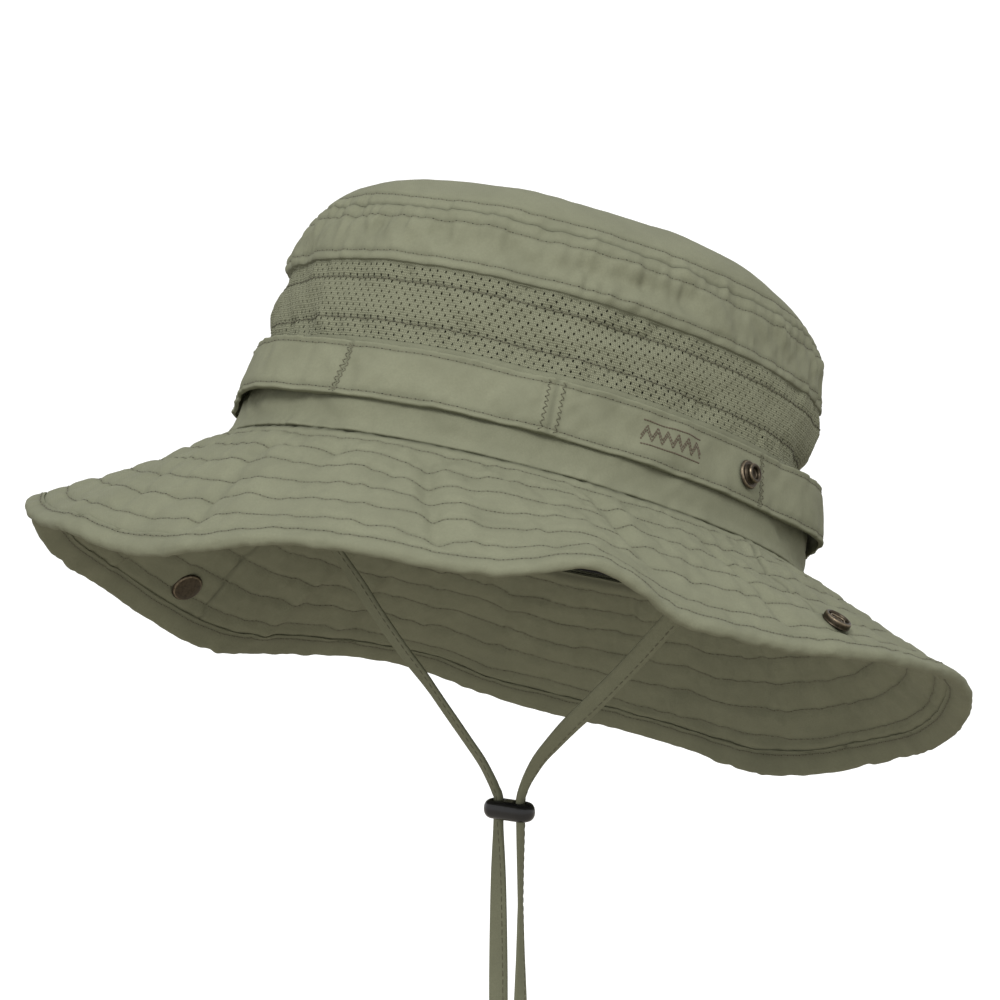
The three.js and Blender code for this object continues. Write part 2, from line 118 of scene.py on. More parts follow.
# Chin cord: each strand's route (x, z) in metres, at this y
CORD_Y = -0.0035
CORD_ROUTES = {
    "left": [
        (0.0786, -0.0022), (0.070, -0.013), (0.060, -0.024), (0.046, -0.0385), (0.032, -0.052),
        (0.022, -0.061), (0.015, -0.068), (0.0104, -0.073), (0.007, -0.078), (0.0048, -0.082),
        (0.0035, -0.0855), (0.0033, -0.088), (0.0033, -0.097), (0.0033, -0.115), (0.0033, -0.140),
        (0.0033, -0.170), (0.0033, -0.200), (0.0028, -0.225), (0.0019, -0.248), (0.0015, -0.264),
    ],
    "right": [
        (-0.0786, -0.0022), (-0.071, -0.012), (-0.062, -0.0225), (-0.052, -0.034), (-0.042, -0.0445),
        (-0.033, -0.053), (-0.025, -0.0615), (-0.017, -0.070), (-0.0115, -0.076), (-0.008, -0.081),
        (-0.006, -0.0845), (-0.0051, -0.087), (-0.0051, -0.097), (-0.0051, -0.115), (-0.0051, -0.140),
        (-0.0051, -0.170), (-0.0051, -0.200), (-0.0046, -0.225), (-0.0037, -0.248), (-0.0033, -0.264),
    ],
}
CORD_WIDTH = 0.006
CORD_THICK = 0.0012
# Distance round the cord in mm, for its weave
CORD_GIRTH = 14
LOCK_X = -0.0009
SLIDER_Z = -0.090
SLIDER_HOLE = 0.0042
KNOT_Z = -0.272

# Camera: azimuth and elevation of its place, its distance, and how far the aim is off the origin
CAMERA_AZIMUTH = math.radians(36.58)
CAMERA_ELEVATION = math.radians(7.78)
CAMERA_DISTANCE = 1.3832
CAMERA_ASIDE = -0.00569
CAMERA_RAISED = 0.00528
CAMERA_LENS = 164.08

# Linear colours
SAGE = (0.190, 0.195, 0.131)
MESH_SAGE = (0.215, 0.220, 0.148)
# Thread: sage like the cloth, darkened as painted shade where the stitches sink in
SHADED_THREAD_SAGE = (0.128, 0.125, 0.082)
# Needle holes: near black, painted shade in the holes between stitches
NEEDLE_SHADE_DARK = (0.040, 0.038, 0.026)
MOTIF_BROWN = (0.095, 0.075, 0.051)
BLACK = (0.010, 0.010, 0.011)
ANTIQUE = (0.055, 0.044, 0.030)
RUBBED = (0.26, 0.21, 0.145)


# ---------------------------------------------------------------- mesh building

def to_row(points):
    """Hat frame in millimetres to the row frame in metres: the hat is tipped back."""
    c, s = math.cos(TIP_BACK), math.sin(TIP_BACK)
    turn = np.array([[1, 0, 0], [0, c, s], [0, -s, c]])
    return np.asarray(points, float) @ turn.T * MM


def unit(vectors):
    return vectors / np.maximum(np.linalg.norm(vectors, axis=-1, keepdims=True), 1e-12)


def path_run(path):
    """Distance along a path at each of its points."""
    return np.concatenate([[0], np.cumsum(np.linalg.norm(np.diff(path, axis=0), axis=1))])


def towards(turn, lift):
    """The direction at an azimuth and an elevation in radians."""
    return Vector((math.sin(turn) * math.cos(lift), -math.cos(turn) * math.cos(lift), math.sin(lift)))


def smooth(x):
    """A soft step from 0 to 1."""
    x = np.clip(x, 0, 1)
    return x * x * (3 - 2 * x)


def bell(x):
    """1 at 0, and near 0 beyond 2."""
    return np.exp(-np.square(x))


# Cells in each direction of the random relief
LATTICE = 512


def waves(x, y, seed, around=LATTICE):
    """Smooth random relief from -1 to 1 on unit cells; x repeats after so many cells."""
    table = np.random.default_rng(seed).uniform(-1, 1, (LATTICE, LATTICE))
    x, y = np.broadcast_arrays(x, y)
    left = np.floor(x).astype(int)
    low = np.floor(y).astype(int)
    across = smooth(x - left)
    up = smooth(y - low)
    a, b = left % around, (left + 1) % around
    c, d = low % LATTICE, (low + 1) % LATTICE
    bottom = table[a, c] * (1 - across) + table[b, c] * across
    top = table[a, d] * (1 - across) + table[b, d] * across
    return bottom * (1 - up) + top * up


def round_waves(phi, y, seed, around):
    """Random relief with so many cells round the hat."""
    return waves(phi / (2 * math.pi) * around, y, seed, around)


def quads(a, b, c, d):
    """Four-sided faces from arrays of their corners."""
    return np.stack([a, b, c, d], -1).reshape(-1, 4)


def shell_faces(rows, columns, wrap):
    """Faces of a closed sheet between two grids; the inner grid's points follow the outer ones."""
    outer = np.arange(rows * columns).reshape(rows, columns)
    inner = outer + rows * columns
    here, there = (outer, np.roll(outer, -1, 0)) if wrap else (outer[:-1], outer[1:])
    here_in, there_in = here + rows * columns, there + rows * columns
    parts = [
        quads(here[:, :-1], there[:, :-1], there[:, 1:], here[:, 1:]),
        quads(here_in[:, 1:], there_in[:, 1:], there_in[:, :-1], here_in[:, :-1]),
        quads(there[:, 0], here[:, 0], here_in[:, 0], there_in[:, 0]),
        quads(here[:, -1], there[:, -1], there_in[:, -1], here_in[:, -1]),
    ]
    if not wrap:
        parts.append(quads(outer[0, :-1], outer[0, 1:], inner[0, 1:], inner[0, :-1]))
        parts.append(quads(outer[-1, 1:], outer[-1, :-1], inner[-1, :-1], inner[-1, 1:]))
    return np.concatenate(parts)


def triangle_volume(corners):
    return np.einsum("ij,ij->", corners[:, 0], np.cross(corners[:, 1], corners[:, 2]))


def signed_volume(points, faces):
    """Positive when a closed mesh of triangles or of quads points out."""
    total = triangle_volume(points[faces[:, :3]])
    if faces.shape[1] == 4:
        total += triangle_volume(points[faces[:, [0, 2, 3]]])
    return total


def linked(name, data):
    """A new object in the scene."""
    made = bpy.data.objects.new(name, data)
    bpy.context.scene.collection.objects.link(made)
    return made


def shown(name, mesh, material, sharp, grain, marks):
    """The object of a mesh: smooth but at sharp edges, with cloth coordinates and marks for its material."""
    mesh.shade_smooth()
    mesh.set_sharp_from_angle(angle=math.radians(sharp))
    mesh.materials.append(material)
    if grain is not None:
        corner = np.zeros(len(mesh.loops), np.int32)
        mesh.loops.foreach_get("vertex_index", corner)
        layer = mesh.uv_layers.new(name="cloth")
        layer.data.foreach_set("uv", grain[corner].astype(np.float32).ravel())
    for kind, values in marks.items():
        mark = mesh.attributes.new(kind, "FLOAT", "POINT")
        mark.data.foreach_set("value", values.astype(np.float32).ravel())
    return linked(name, mesh)


def build(name, points, faces, material, grain=None, sharp=52, **marks):
    """A mesh object from quads in the row frame, turned outward."""
    if signed_volume(points, faces) < 0:
        faces = faces[:, ::-1]
    mesh = bpy.data.meshes.new(name)
    mesh.from_pydata(points.tolist(), [], faces.tolist())
    return shown(name, mesh, material, sharp, grain, marks)


def polygons(name, points, faces, material, grain=None, sharp=48, **marks):
    """A mesh object from faces of mixed size, turned outward."""
    mesh = bpy.data.meshes.new(name)
    mesh.from_pydata(points.tolist(), [], faces)
    mesh.calc_loop_triangles()
    corners = np.array([t.vertices[:] for t in mesh.loop_triangles])
    if signed_volume(points, corners) < 0:
        mesh.flip_normals()
    return shown(name, mesh, material, sharp, grain, marks)


def settle(piece, slot, body, *nodes):
    """Hides the CAD nodes that a piece stands for and attaches it to the body it moves with; slot is not
    used.
    """
    if nodes:
        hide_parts(*nodes)
    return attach(piece, body)


def cloth_shell(name, outside, inside, material, wrap, grain, crease=None):
    """A layer of cloth from its outer and inner grids (hat frame), with its grain and the mask of its
    painted crease shade.
    """
    rows, columns = outside.shape[:2]
    points = to_row(np.concatenate([outside.reshape(-1, 3), inside.reshape(-1, 3)]))
    both = np.concatenate([grain.reshape(-1, 2)] * 2)
    # The crease mark is where the material paints shade
    marks = {} if crease is None else {"crease": np.concatenate([crease.ravel()] * 2)}
    return build(name, points, shell_faces(rows, columns, wrap), material, both, **marks)


def edged(start, end, step, edge=0.15):
    """Places from start to end about a step apart, closer at both ends so that edges can roll."""
    count = max(4, int(round((end - start) / step)))
    middle = np.linspace(start, end, count + 1)
    near = np.array([0, edge, 2 * edge, 4 * edge])
    return np.unique(np.concatenate([start + near, middle[1:-1], end - near]).round(6))


def rolled(across, start, end, depth, reach=0.7):
    """How far a cloth edge turns in: nothing in the middle, depth at either edge."""
    inward = np.clip(np.minimum(across - start, end - across) / reach, 0, 1)
    return depth * (1 - np.sqrt(1 - np.square(1 - inward)))


# Rings of one stitch: place along it, share of its thickness, and height in radii
STITCH_SHAPE = [
    (-0.5, 0.3, -1.0), (-0.36, 0.95, 0.05), (0, 1, 0.4), (0.36, 0.95, 0.05), (0.5, 0.3, -1.0),
]
STITCH_SIDES = 6
STITCH_FLATTENED = 0.8
NEEDLE_SHAPE = np.array([(-1, 0, 0), (0, -1, 0), (1, 0, 0), (0, 1, 0), (0, 0, 1), (0, 0, -1)], float)
NEEDLE_FACES = np.array([
    (0, 1, 4), (1, 2, 4), (2, 3, 4), (3, 0, 4), (1, 0, 5), (2, 1, 5), (3, 2, 5), (0, 3, 5),
])


def along_path(at, run, path):
    return np.stack([np.interp(at, run, path[:, k]) for k in range(3)], -1)


def line_frame(at, run, path, up, step=0.1):
    """Points at distances along a sewn line, and the directions ahead, aside and out of the cloth."""
    ahead = unit(along_path(at + step, run, path) - along_path(at - step, run, path) + 1e-9)
    normal = unit(along_path(at, run, up))
    return along_path(at, run, path), ahead, unit(np.cross(ahead, normal)), normal


def stitch_points(path, up, pitch, fill, radius):
    """Points of every stitch along one line, ring by ring."""
    run = path_run(path)
    count = max(1, int(run[-1] / pitch))
    centres = (np.arange(count) + 0.5) * run[-1] / count
    length = run[-1] / count * fill
    rings = []
    for place, thick, high in STITCH_SHAPE:
        middle, _, aside, normal = line_frame(centres + place * length, run, path, up)
        middle = middle + normal * high * radius
        for k in range(STITCH_SIDES):
            turn = 2 * math.pi * k / STITCH_SIDES
            wide = math.cos(turn) * radius * thick
            tall = math.sin(turn) * radius * thick * STITCH_FLATTENED
            rings.append(middle + aside * wide + normal * tall)
    return np.stack(rings, 1)


def stitch_faces():
    """The faces of one stitch, its two end rings closed."""
    faces = []
    for ring in range(len(STITCH_SHAPE) - 1):
        for k in range(STITCH_SIDES):
            a, b = ring * STITCH_SIDES + k, ring * STITCH_SIDES + (k + 1) % STITCH_SIDES
            faces.append((a, b, b + STITCH_SIDES, a + STITCH_SIDES))
    last = (len(STITCH_SHAPE) - 1) * STITCH_SIDES
    for k in (0, 3):
        faces.append(tuple((k + n) % STITCH_SIDES for n in (3, 2, 1, 0)))
        faces.append(tuple(last + (k + n) % STITCH_SIDES for n in (0, 1, 2, 3)))
    return np.array(faces)


def needle_points(path, up, pitch, size):
    """Small dark bodies that paint the shade in the holes where the needle went in, one between each stitch
    and the next.
    """
    run = path_run(path)
    count = max(1, int(run[-1] / pitch))
    middle, *axes = line_frame(np.arange(count) * run[-1] / count, run, path, up)
    shape = NEEDLE_SHAPE * np.array(size)
    return middle[:, None] + np.einsum("pk,nkd->npd", shape, np.stack(axes, 1))


def gathered(groups, pattern):
    """Joins repeats of one small shape into one set of points and faces."""
    points = np.concatenate([group.reshape(-1, 3) for group in groups])
    size = groups[0].shape[1]
    offsets = np.arange(len(points) // size)[:, None, None] * size
    return points, (pattern[None] + offsets).reshape(-1, pattern.shape[1])


# Half sizes of a needle pit, a dark body of painted shade, in mm: along the line, across it and deep
NEEDLE_PITS = (0.42, 0.28, 0.2)
SMALL_PITS = (0.3, 0.2, 0.12)


def sew(name, lines, material, pitch=2.5, fill=0.74, radius=0.19, pits=NEEDLE_PITS):
    """One piece of thread in mm; every line is (points, outward directions) in the hat frame."""
    stitches = [stitch_points(path, up, pitch, fill, radius) for path, up in lines]
    points, faces = gathered(stitches, stitch_faces())
    faces = faces.tolist()
    count = len(faces)
    if pits:
        holes = [needle_points(path, up, pitch, pits) for path, up in lines]
        more, hole_faces = gathered(holes, NEEDLE_FACES)
        faces += (hole_faces + len(points)).tolist()
        points = np.concatenate([points, more])
    piece = polygons(name, to_row(points), faces, material)
    if pits:
        # The pits get the needle material, which is painted shade
        piece.data.materials.append(NEEDLE)
        slots = np.zeros(len(faces), np.int32)
        slots[count:] = 1
        piece.data.polygons.foreach_set("material_index", slots)
    return piece


def outward_of(surface, phi, across, turn=0.004, reach=0.25):
    """The directions out of a surface(angle, across), from a small step each way."""
    round_step = surface(phi + turn, across) - surface(phi - turn, across)
    across_step = surface(phi, across + reach) - surface(phi, across - reach)
    return unit(np.cross(round_step, across_step))


def seat_line(surface, phi, across, outward=1, raised=0.0):
    """A line on a surface(angle, across) and the directions out of it."""
    phi, across = np.broadcast_arrays(np.asarray(phi, float), np.asarray(across, float))
    up = outward_of(surface, phi, across) * outward
    return surface(phi, across) + up * raised, up


def arc(start, end, count):
    """Angles in radians from start to end in degrees."""
    return np.radians(np.linspace(start, end, count))


# ---------------------------------------------------------------- shapes of the hat

def spline(points, per_span):
    """A uniform Catmull-Rom curve through points."""
    points = np.array(points, float)
    padded = np.concatenate([points[:1], points, points[-1:]])
    t = np.linspace(0, 1, per_span, endpoint=False)[:, None]
    spans = []
    for i in range(len(points) - 1):
        before, start, end, after = padded[i:i + 4]
        leave, arrive = (end - before) / 2, (after - start) / 2
        cubic = (2 * start - 2 * end + leave + arrive) * t ** 3
        spans.append(cubic + (3 * end - 3 * start - 2 * leave - arrive) * t ** 2 + leave * t + start)
    return np.concatenate([*spans, points[-1:]])


CROWN_CURVE = spline([(share * MEAN_RADIUS, height) for height, share in CROWN_PROFILE], 60)
CROWN_RUN = path_run(CROWN_CURVE)
CROWN_END = CROWN_RUN[-1]
CROWN_TANGENT = unit(np.gradient(CROWN_CURVE, CROWN_RUN, axis=0))


def run_at(height):
    """Distance along the crown's side at a height."""
    return np.interp(height, CROWN_CURVE[:, 1], CROWN_RUN)


def crown(phi, run, out):
    """A point of the crown at a distance up its side, moved out along its normal."""
    radius = np.interp(run, CROWN_RUN, CROWN_CURVE[:, 0])
    height = np.interp(run, CROWN_RUN, CROWN_CURVE[:, 1])
    along = np.interp(run, CROWN_RUN, CROWN_TANGENT[:, 0])
    rise = np.interp(run, CROWN_RUN, CROWN_TANGENT[:, 1])
    share = np.maximum(radius + rise * out, 0) / MEAN_RADIUS
    x = HALF_WIDTH * share * np.cos(phi)
    y = HALF_LENGTH * share * np.sin(phi)
    return np.stack([x, y, height - along * out], -1)


# Dents and swells of the crown: angle, height, half width in degrees, half height in mm, push, slant
CROWN_DENTS = [
    (-33, 62.5, 15, 2.8, -2.2, 0.10), (-30, 56, 17, 2.4, 1.1, 0.10), (-34, 46.5, 13, 2.2, -1.4, 0.10),
    (-38, 41, 14, 2.4, 0.7, 0.1), (-75, 63, 9, 6, -0.8, 0.0), (-100, 66, 8, 5, -1.0, -0.1),
    (-143, 60, 16, 4.5, 1.6, 0.0), (-143, 51, 20, 3.0, -1.6, 0.0), (-140, 42, 18, 4.5, 1.2, 0.0),
    (-140, 31, 20, 3.0, -1.4, 0.0), (37, 33.5, 14, 4.0, -3.6, 0.0), (40, 47, 16, 6, 1.2, 0.0),
    (10, 60, 9, 6, -1.1, 0.15), (-60, 60, 7, 5, -1.2, 0.25), (-18, 58, 7, 6, -1.0, -0.2),
    (-85, 62, 6, 6, 0.9, 0.2), (75, 62, 14, 6, -1.4, 0.1), (110, 45, 15, 6, -1.2, -0.1),
    (150, 64, 12, 5, -1.2, 0.1), (165, 42, 12, 5, 1.0, 0.0),
]


def degrees_from(phi, centre):
    """The turn from a centre in degrees, from -180 to 180."""
    return (np.degrees(phi) - centre + 180) % 360 - 180


def crown_relief(phi, run):
    """Dents, swells and slack of the soft crown, the same for all its layers."""
    height = np.interp(run, CROWN_RUN, CROWN_CURVE[:, 1])
    push = 0.7 * round_waves(phi, run / 17, 3, 22)
    small = 0.65 * round_waves(phi, run / 9, 4, 50)
    small = small + 0.5 * round_waves(phi + run / 90, run / 7, 5, 92)
    small = small + 0.24 * round_waves(phi - run / 120, run / 5, 6, 180)
    push = push + small * (1 - 0.8 * smooth((run - run_at(TIP_SEAM) + 2) / 7))
    for centre, level, wide, tall, amount, slant in CROWN_DENTS:
        turn = degrees_from(phi, centre)
        push = push + amount * bell(turn / wide) * bell((height - level - slant * turn) / tall)
    calm = smooth((CROWN_END - run - 6) / 30) * smooth(height / 9)
    for side in (-STUD_TURN, 180 + STUD_TURN):
        calm = calm * (1 - bell(degrees_from(phi, side) / 7) * bell((height - STUD_HEIGHT) / 14))
    return push * calm


def tip_relief(phi, run):
    """Slack waves across the tip, drawn straight across so that they don't gather at its centre."""
    flat = crown(phi, run, 0)
    x, y = flat[..., 0], flat[..., 1]
    swell = 0.8 * waves(x / 34 + 40, y / 46 + 40, 7) + 0.4 * waves(x / 13 + 50, y / 21 + 50, 8)
    return swell * smooth((run - run_at(TIP_SEAM)) / 12)


def puckers(phi, run, seam_run, seed, size=0.3, reach=4.0):
    """Short upright gathers beside a sewn line."""
    pull = 1.3 * round_waves(phi, run / 13, seed, 130) + 1.2 * round_waves(phi, run / 9, seed + 1, 225)
    pull = pull + 0.3 * round_waves(phi, run / 5, seed + 2, 330)
    patchy = 0.9 + 0.6 * round_waves(phi, run / 30, seed + 3, 26)
    return size * pull * patchy * bell((run - seam_run) / reach)


def stitch_groove(run, line_run, depth=0.34, width=0.7):
    """How far a row of stitches pulls the cloth in."""
    return -depth * bell((run - line_run) / width)


TIP_LINE = run_at(TIP_SEAM) + 4.4
BAND_LINES = (run_at(TIP_SEAM) - 4.2, run_at(UPPER_SEAM) + 3.2)
MESH_LINES = tuple(run_at(height) for height in MESH_STITCHES)
BASE_START = run_at(0.5)


def tip_face(phi, run):
    """The outer face of the top panel."""
    seam = run_at(TIP_SEAM)
    out = crown_relief(phi, run) + tip_relief(phi, run)
    out = out + puckers(phi, run, seam, 21, 0.45, 4.2) + stitch_groove(run, TIP_LINE)
    return crown(phi, run, out + 0.3 - 0.3 * bell((run - seam) / 0.5))


def band_face(phi, run):
    """The outer face of the upper band."""
    seam = run_at(TIP_SEAM)
    lower = run_at(UPPER_SEAM)
    out = crown_relief(phi, run) + puckers(phi, run, seam, 21, 0.45, 6)
    out = out + puckers(phi, run, seam - 7, 23, 0.8, 4)
    out = out + puckers(phi, run, lower + 4, 25, 0.6, 3.5)
    for line in BAND_LINES:
        out = out + stitch_groove(run, line)
    out = out + 0.3 - 0.3 * bell((run - seam) / 0.5) + 0.3 * bell((run - lower - 1) / 2.5)
    return crown(phi, run, out - rolled(run, lower, seam + 9, 0.9))


def mesh_face(phi, run):
    """The outer face of the mesh panel, slack in its middle."""
    low, high = run_at(LOWER_SEAM), run_at(UPPER_SEAM)
    out = crown_relief(phi, run) + 0.5 * bell((run - (low + high) / 2) / 6)
    out = out + puckers(phi, run, high - 3, 27, 0.4) + puckers(phi, run, low + 3, 29, 0.4)
    for line in MESH_LINES:
        out = out + stitch_groove(run, line, 0.3, 0.8)
    return crown(phi, run, out - 0.25)


def base_face(phi, run):
    """The outer face of the lower band, swelling over the brim seam."""
    top = run_at(LOWER_SEAM)
    out = crown_relief(phi, run) + puckers(phi, run, BASE_START, 31, 0.4, 3.5)
    out = out + 0.2 * bell((run - top + 1) / 2.5)
    out = out + 0.1 + 1.15 * bell((run - BASE_START) / 2.2)
    return crown(phi, run, out - rolled(run, BASE_START, top, 1.0, 0.55))


def rim_fold(phi):
    """How many degrees deeper than the mean the rim droops, from its folds."""
    return sum(deeper * bell(degrees_from(phi, turn) / half) for turn, half, deeper in RIM_FOLDS)


def brim(phi, along, lift):
    """A point of the brim: distance out along the cloth, and height above its middle."""
    along = along * (1 - TUCK_SHARE * bell(degrees_from(phi, TUCK_TURN) / TUCK_HALF))
    share = along / BRIM_WIDTH
    droop = MEAN_DROOP + rim_fold(phi) * (0.4 + 0.6 * share) - BRIM_CURL * (1 - share)
    slope = np.radians(droop)
    normal = unit(np.stack([np.cos(phi) / HALF_WIDTH, np.sin(phi) / HALF_LENGTH], -1))
    out = along * np.cos(slope) + lift * np.sin(slope)
    x = HALF_WIDTH * np.cos(phi) + normal[..., 0] * out
    y = HALF_LENGTH * np.sin(phi) + normal[..., 1] * out
    return np.stack([x, y, lift * np.cos(slope) - along * np.sin(slope)], -1)


def snap_angle(side, turn):
    """The angle of a snap that sits some degrees in front of the side."""
    return math.radians(-turn) if side == "left" else math.pi + math.radians(turn)


def off_snaps(phi, along):
    """0 where a snap is clamped on the brim, 1 away from it."""
    calm = 1.0
    for side in ("left", "right"):
        gap = (phi - snap_angle(side, SNAP_TURN) + math.pi) % (2 * math.pi) - math.pi
        reach = np.hypot(gap * (MEAN_RADIUS + SNAP_OUT), along - SNAP_OUT)
        calm = calm * (1 - bell(reach / 6.5))
    return calm


def side_seam_distance(phi, along):
    """Millimetres round the brim from the nearer side seam."""
    gaps = []
    for seam in SIDE_SEAMS:
        outs, turns = zip(*seam)
        gap = np.degrees(phi) - np.interp(along, outs, turns)
        gaps.append(np.radians((gap + 180) % 360 - 180))
    nearer = np.where(np.abs(gaps[0]) < np.abs(gaps[1]), gaps[0], gaps[1])
    return nearer * (MEAN_RADIUS + along)


def wander(phi, along):
    """How far the quilting rows stray from true circles."""
    stray = 1.3 * round_waves(phi, along / 28, 36, 24) + 0.25 * round_waves(phi, along / 16, 37, 40)
    return stray * smooth(along / 10) * smooth((BINDING_TOP - along) / 7)


def row_distance(phi, along):
    """Millimetres from the nearest quilting row."""
    rows = np.array(QUILT_ROWS)
    return np.abs((along - wander(phi, along))[..., None] - rows).min(-1)


def radial_folds(phi, along):
    """Soft folds that run out across the brim."""
    push = 0.0
    for inner, outer, wide, amount, first, last in BRIM_FOLDS:
        centre = inner + (outer - inner) * along / BRIM_WIDTH
        gap = np.radians(degrees_from(phi, centre)) * (MEAN_RADIUS + along)
        reach = smooth((along - first) / 8) * smooth((last - along) / 8)
        push = push + amount * bell(gap / wide) * reach
    return push


def brim_middle(phi, along):
    """Folds and gathers that all the brim's plies share."""
    broad = 0.8 * round_waves(phi, along / 19, 41, 48) + radial_folds(phi, along)
    row_pull = bell(row_distance(phi, along) / 3.4)
    fine = 1.2 * round_waves(phi, along / 9, 42, 110) + 1.1 * round_waves(phi, along / 6, 43, 210)
    fine = fine + 0.3 * round_waves(phi, along / 4, 44, 330)
    inner = 1 + 0.5 * bell(along / 25)
    middle = broad + 0.42 * inner * (0.5 + 0.5 * row_pull) * fine
    return middle * smooth((along - 1) / 9) * off_snaps(phi, along)


def brim_face(phi, along, side):
    """The brim's top (side 1) or under (side -1) face, quilted between its rows of stitches."""
    roll = 1 - bell(row_distance(phi, along) / 1.6)
    small = 0.24 * round_waves(phi, along / 3.5, 45 + side, 270) * off_snaps(phi, along)
    seam = side_seam_distance(phi, along)
    tape = BINDING_TOP if side > 0 else BINDING_UNDER
    lift = 0.62 + 0.62 * roll + small
    lift = lift - 0.5 * bell(seam / 0.6) + 0.3 * bell((np.abs(seam) - 2.4) / 1.8)
    lift = lift + (0.62 - lift) * smooth((along - tape + 1.2) / 1.4) - 0.45 * bell(along / 1.6)
    return brim(phi, along, brim_middle(phi, along) + side * lift)


def binding_outline():
    """Section of the folded edge tape (distance out, lift), from its top edge round to its under edge."""
    top, under = BINDING_TOP, BINDING_UNDER
    corners = [
        (top, 0.75), (top, 1.3), (top + 1.4, 1.35), (62.6, 1.7), (64.3, 1.45), (65.1, 0.55), (65.1, -0.55),
        (64.3, -1.45), (62.0, -1.7), (under + 1.6, -1.4), (under, -1.3), (under, -0.75),
    ]
    return spline(corners, 5)


BINDING_OUTLINE = binding_outline()
BINDING_TANGENT = np.gradient(BINDING_OUTLINE, axis=0)
BINDING_OUTWARD = unit(np.stack([-BINDING_TANGENT[:, 1], BINDING_TANGENT[:, 0]], -1))
BINDING_LAST = len(BINDING_OUTLINE) - 1
BINDING_STITCH = 9.5


def binding_face(phi, place, inset=0.0):
    """A point of the edge tape; place counts along its section."""
    steps = np.arange(BINDING_LAST + 1)
    at = [np.interp(place, steps, BINDING_OUTLINE[:, k]) for k in (0, 1)]
    outward = [np.interp(place, steps, BINDING_OUTWARD[:, k]) for k in (0, 1)]
    gather = 0.26 * round_waves(phi, place / 12, 51, 170) + 0.2 * round_waves(phi, place / 8, 52, 300)
    out = gather - inset
    along = at[0] + outward[0] * out
    lift = at[1] + outward[1] * out
    return brim(phi, along, lift + brim_middle(phi, np.minimum(along, BRIM_WIDTH)))


def strap_proud(phi):
    """How far the strap's loops stand off."""
    turn = np.degrees(phi) % 360
    proud = 0.0
    for start, end, rise in STRAP_LOOPS:
        share = np.clip((turn - start) / (end - start), 0, 1)
        proud = proud + rise * np.square(np.sin(math.pi * share))
    return proud


def strap_face(phi, run, out=STRAP_THICK):
    """The strap's face: it follows the crown, stands off in its loops and is pinched by its tacks."""
    low, high = run_at(STRAP_BOTTOM), run_at(STRAP_TOP)
    proud = strap_proud(phi)
    pinch = 0.0
    for tack in STRAP_TACKS:
        pinch = pinch + bell(degrees_from(phi, tack) / 0.55)
    from_lap = degrees_from(phi, STRAP_LAP)
    lap = smooth((from_lap + 2.1) / 0.5) * smooth((1.9 - from_lap) / 0.5)
    slack = 0.55 * round_waves(phi, run / 11, 61, 60) + 0.35 * round_waves(phi, run / 7, 62, 140)
    slack = slack + 0.22 * round_waves(phi, run / 4, 64, 260) * (1 - bell((run - (low + high) / 2) / 6))
    calm = 1 - bell(degrees_from(phi, -STUD_TURN) / 4) - bell(degrees_from(phi, 180 + STUD_TURN) / 4)
    lines = bell((run - low - STRAP_ROW) / 0.7) + bell((high - STRAP_ROW - run) / 0.7)
    lift = slack * calm - 0.35 * pinch + 0.55 * lap - 0.32 * lines if out > 0 else 0
    relief = crown_relief(phi, np.clip(run, low, high)) * (1 - np.clip(proud / 4, 0, 0.7))
    edge = rolled(run, low, high, out * 0.5, 0.6)
    return crown(phi, run, STRAP_GAP + 0.1 + out + proud + relief + lift - edge)


# ---------------------------------------------------------------- materials

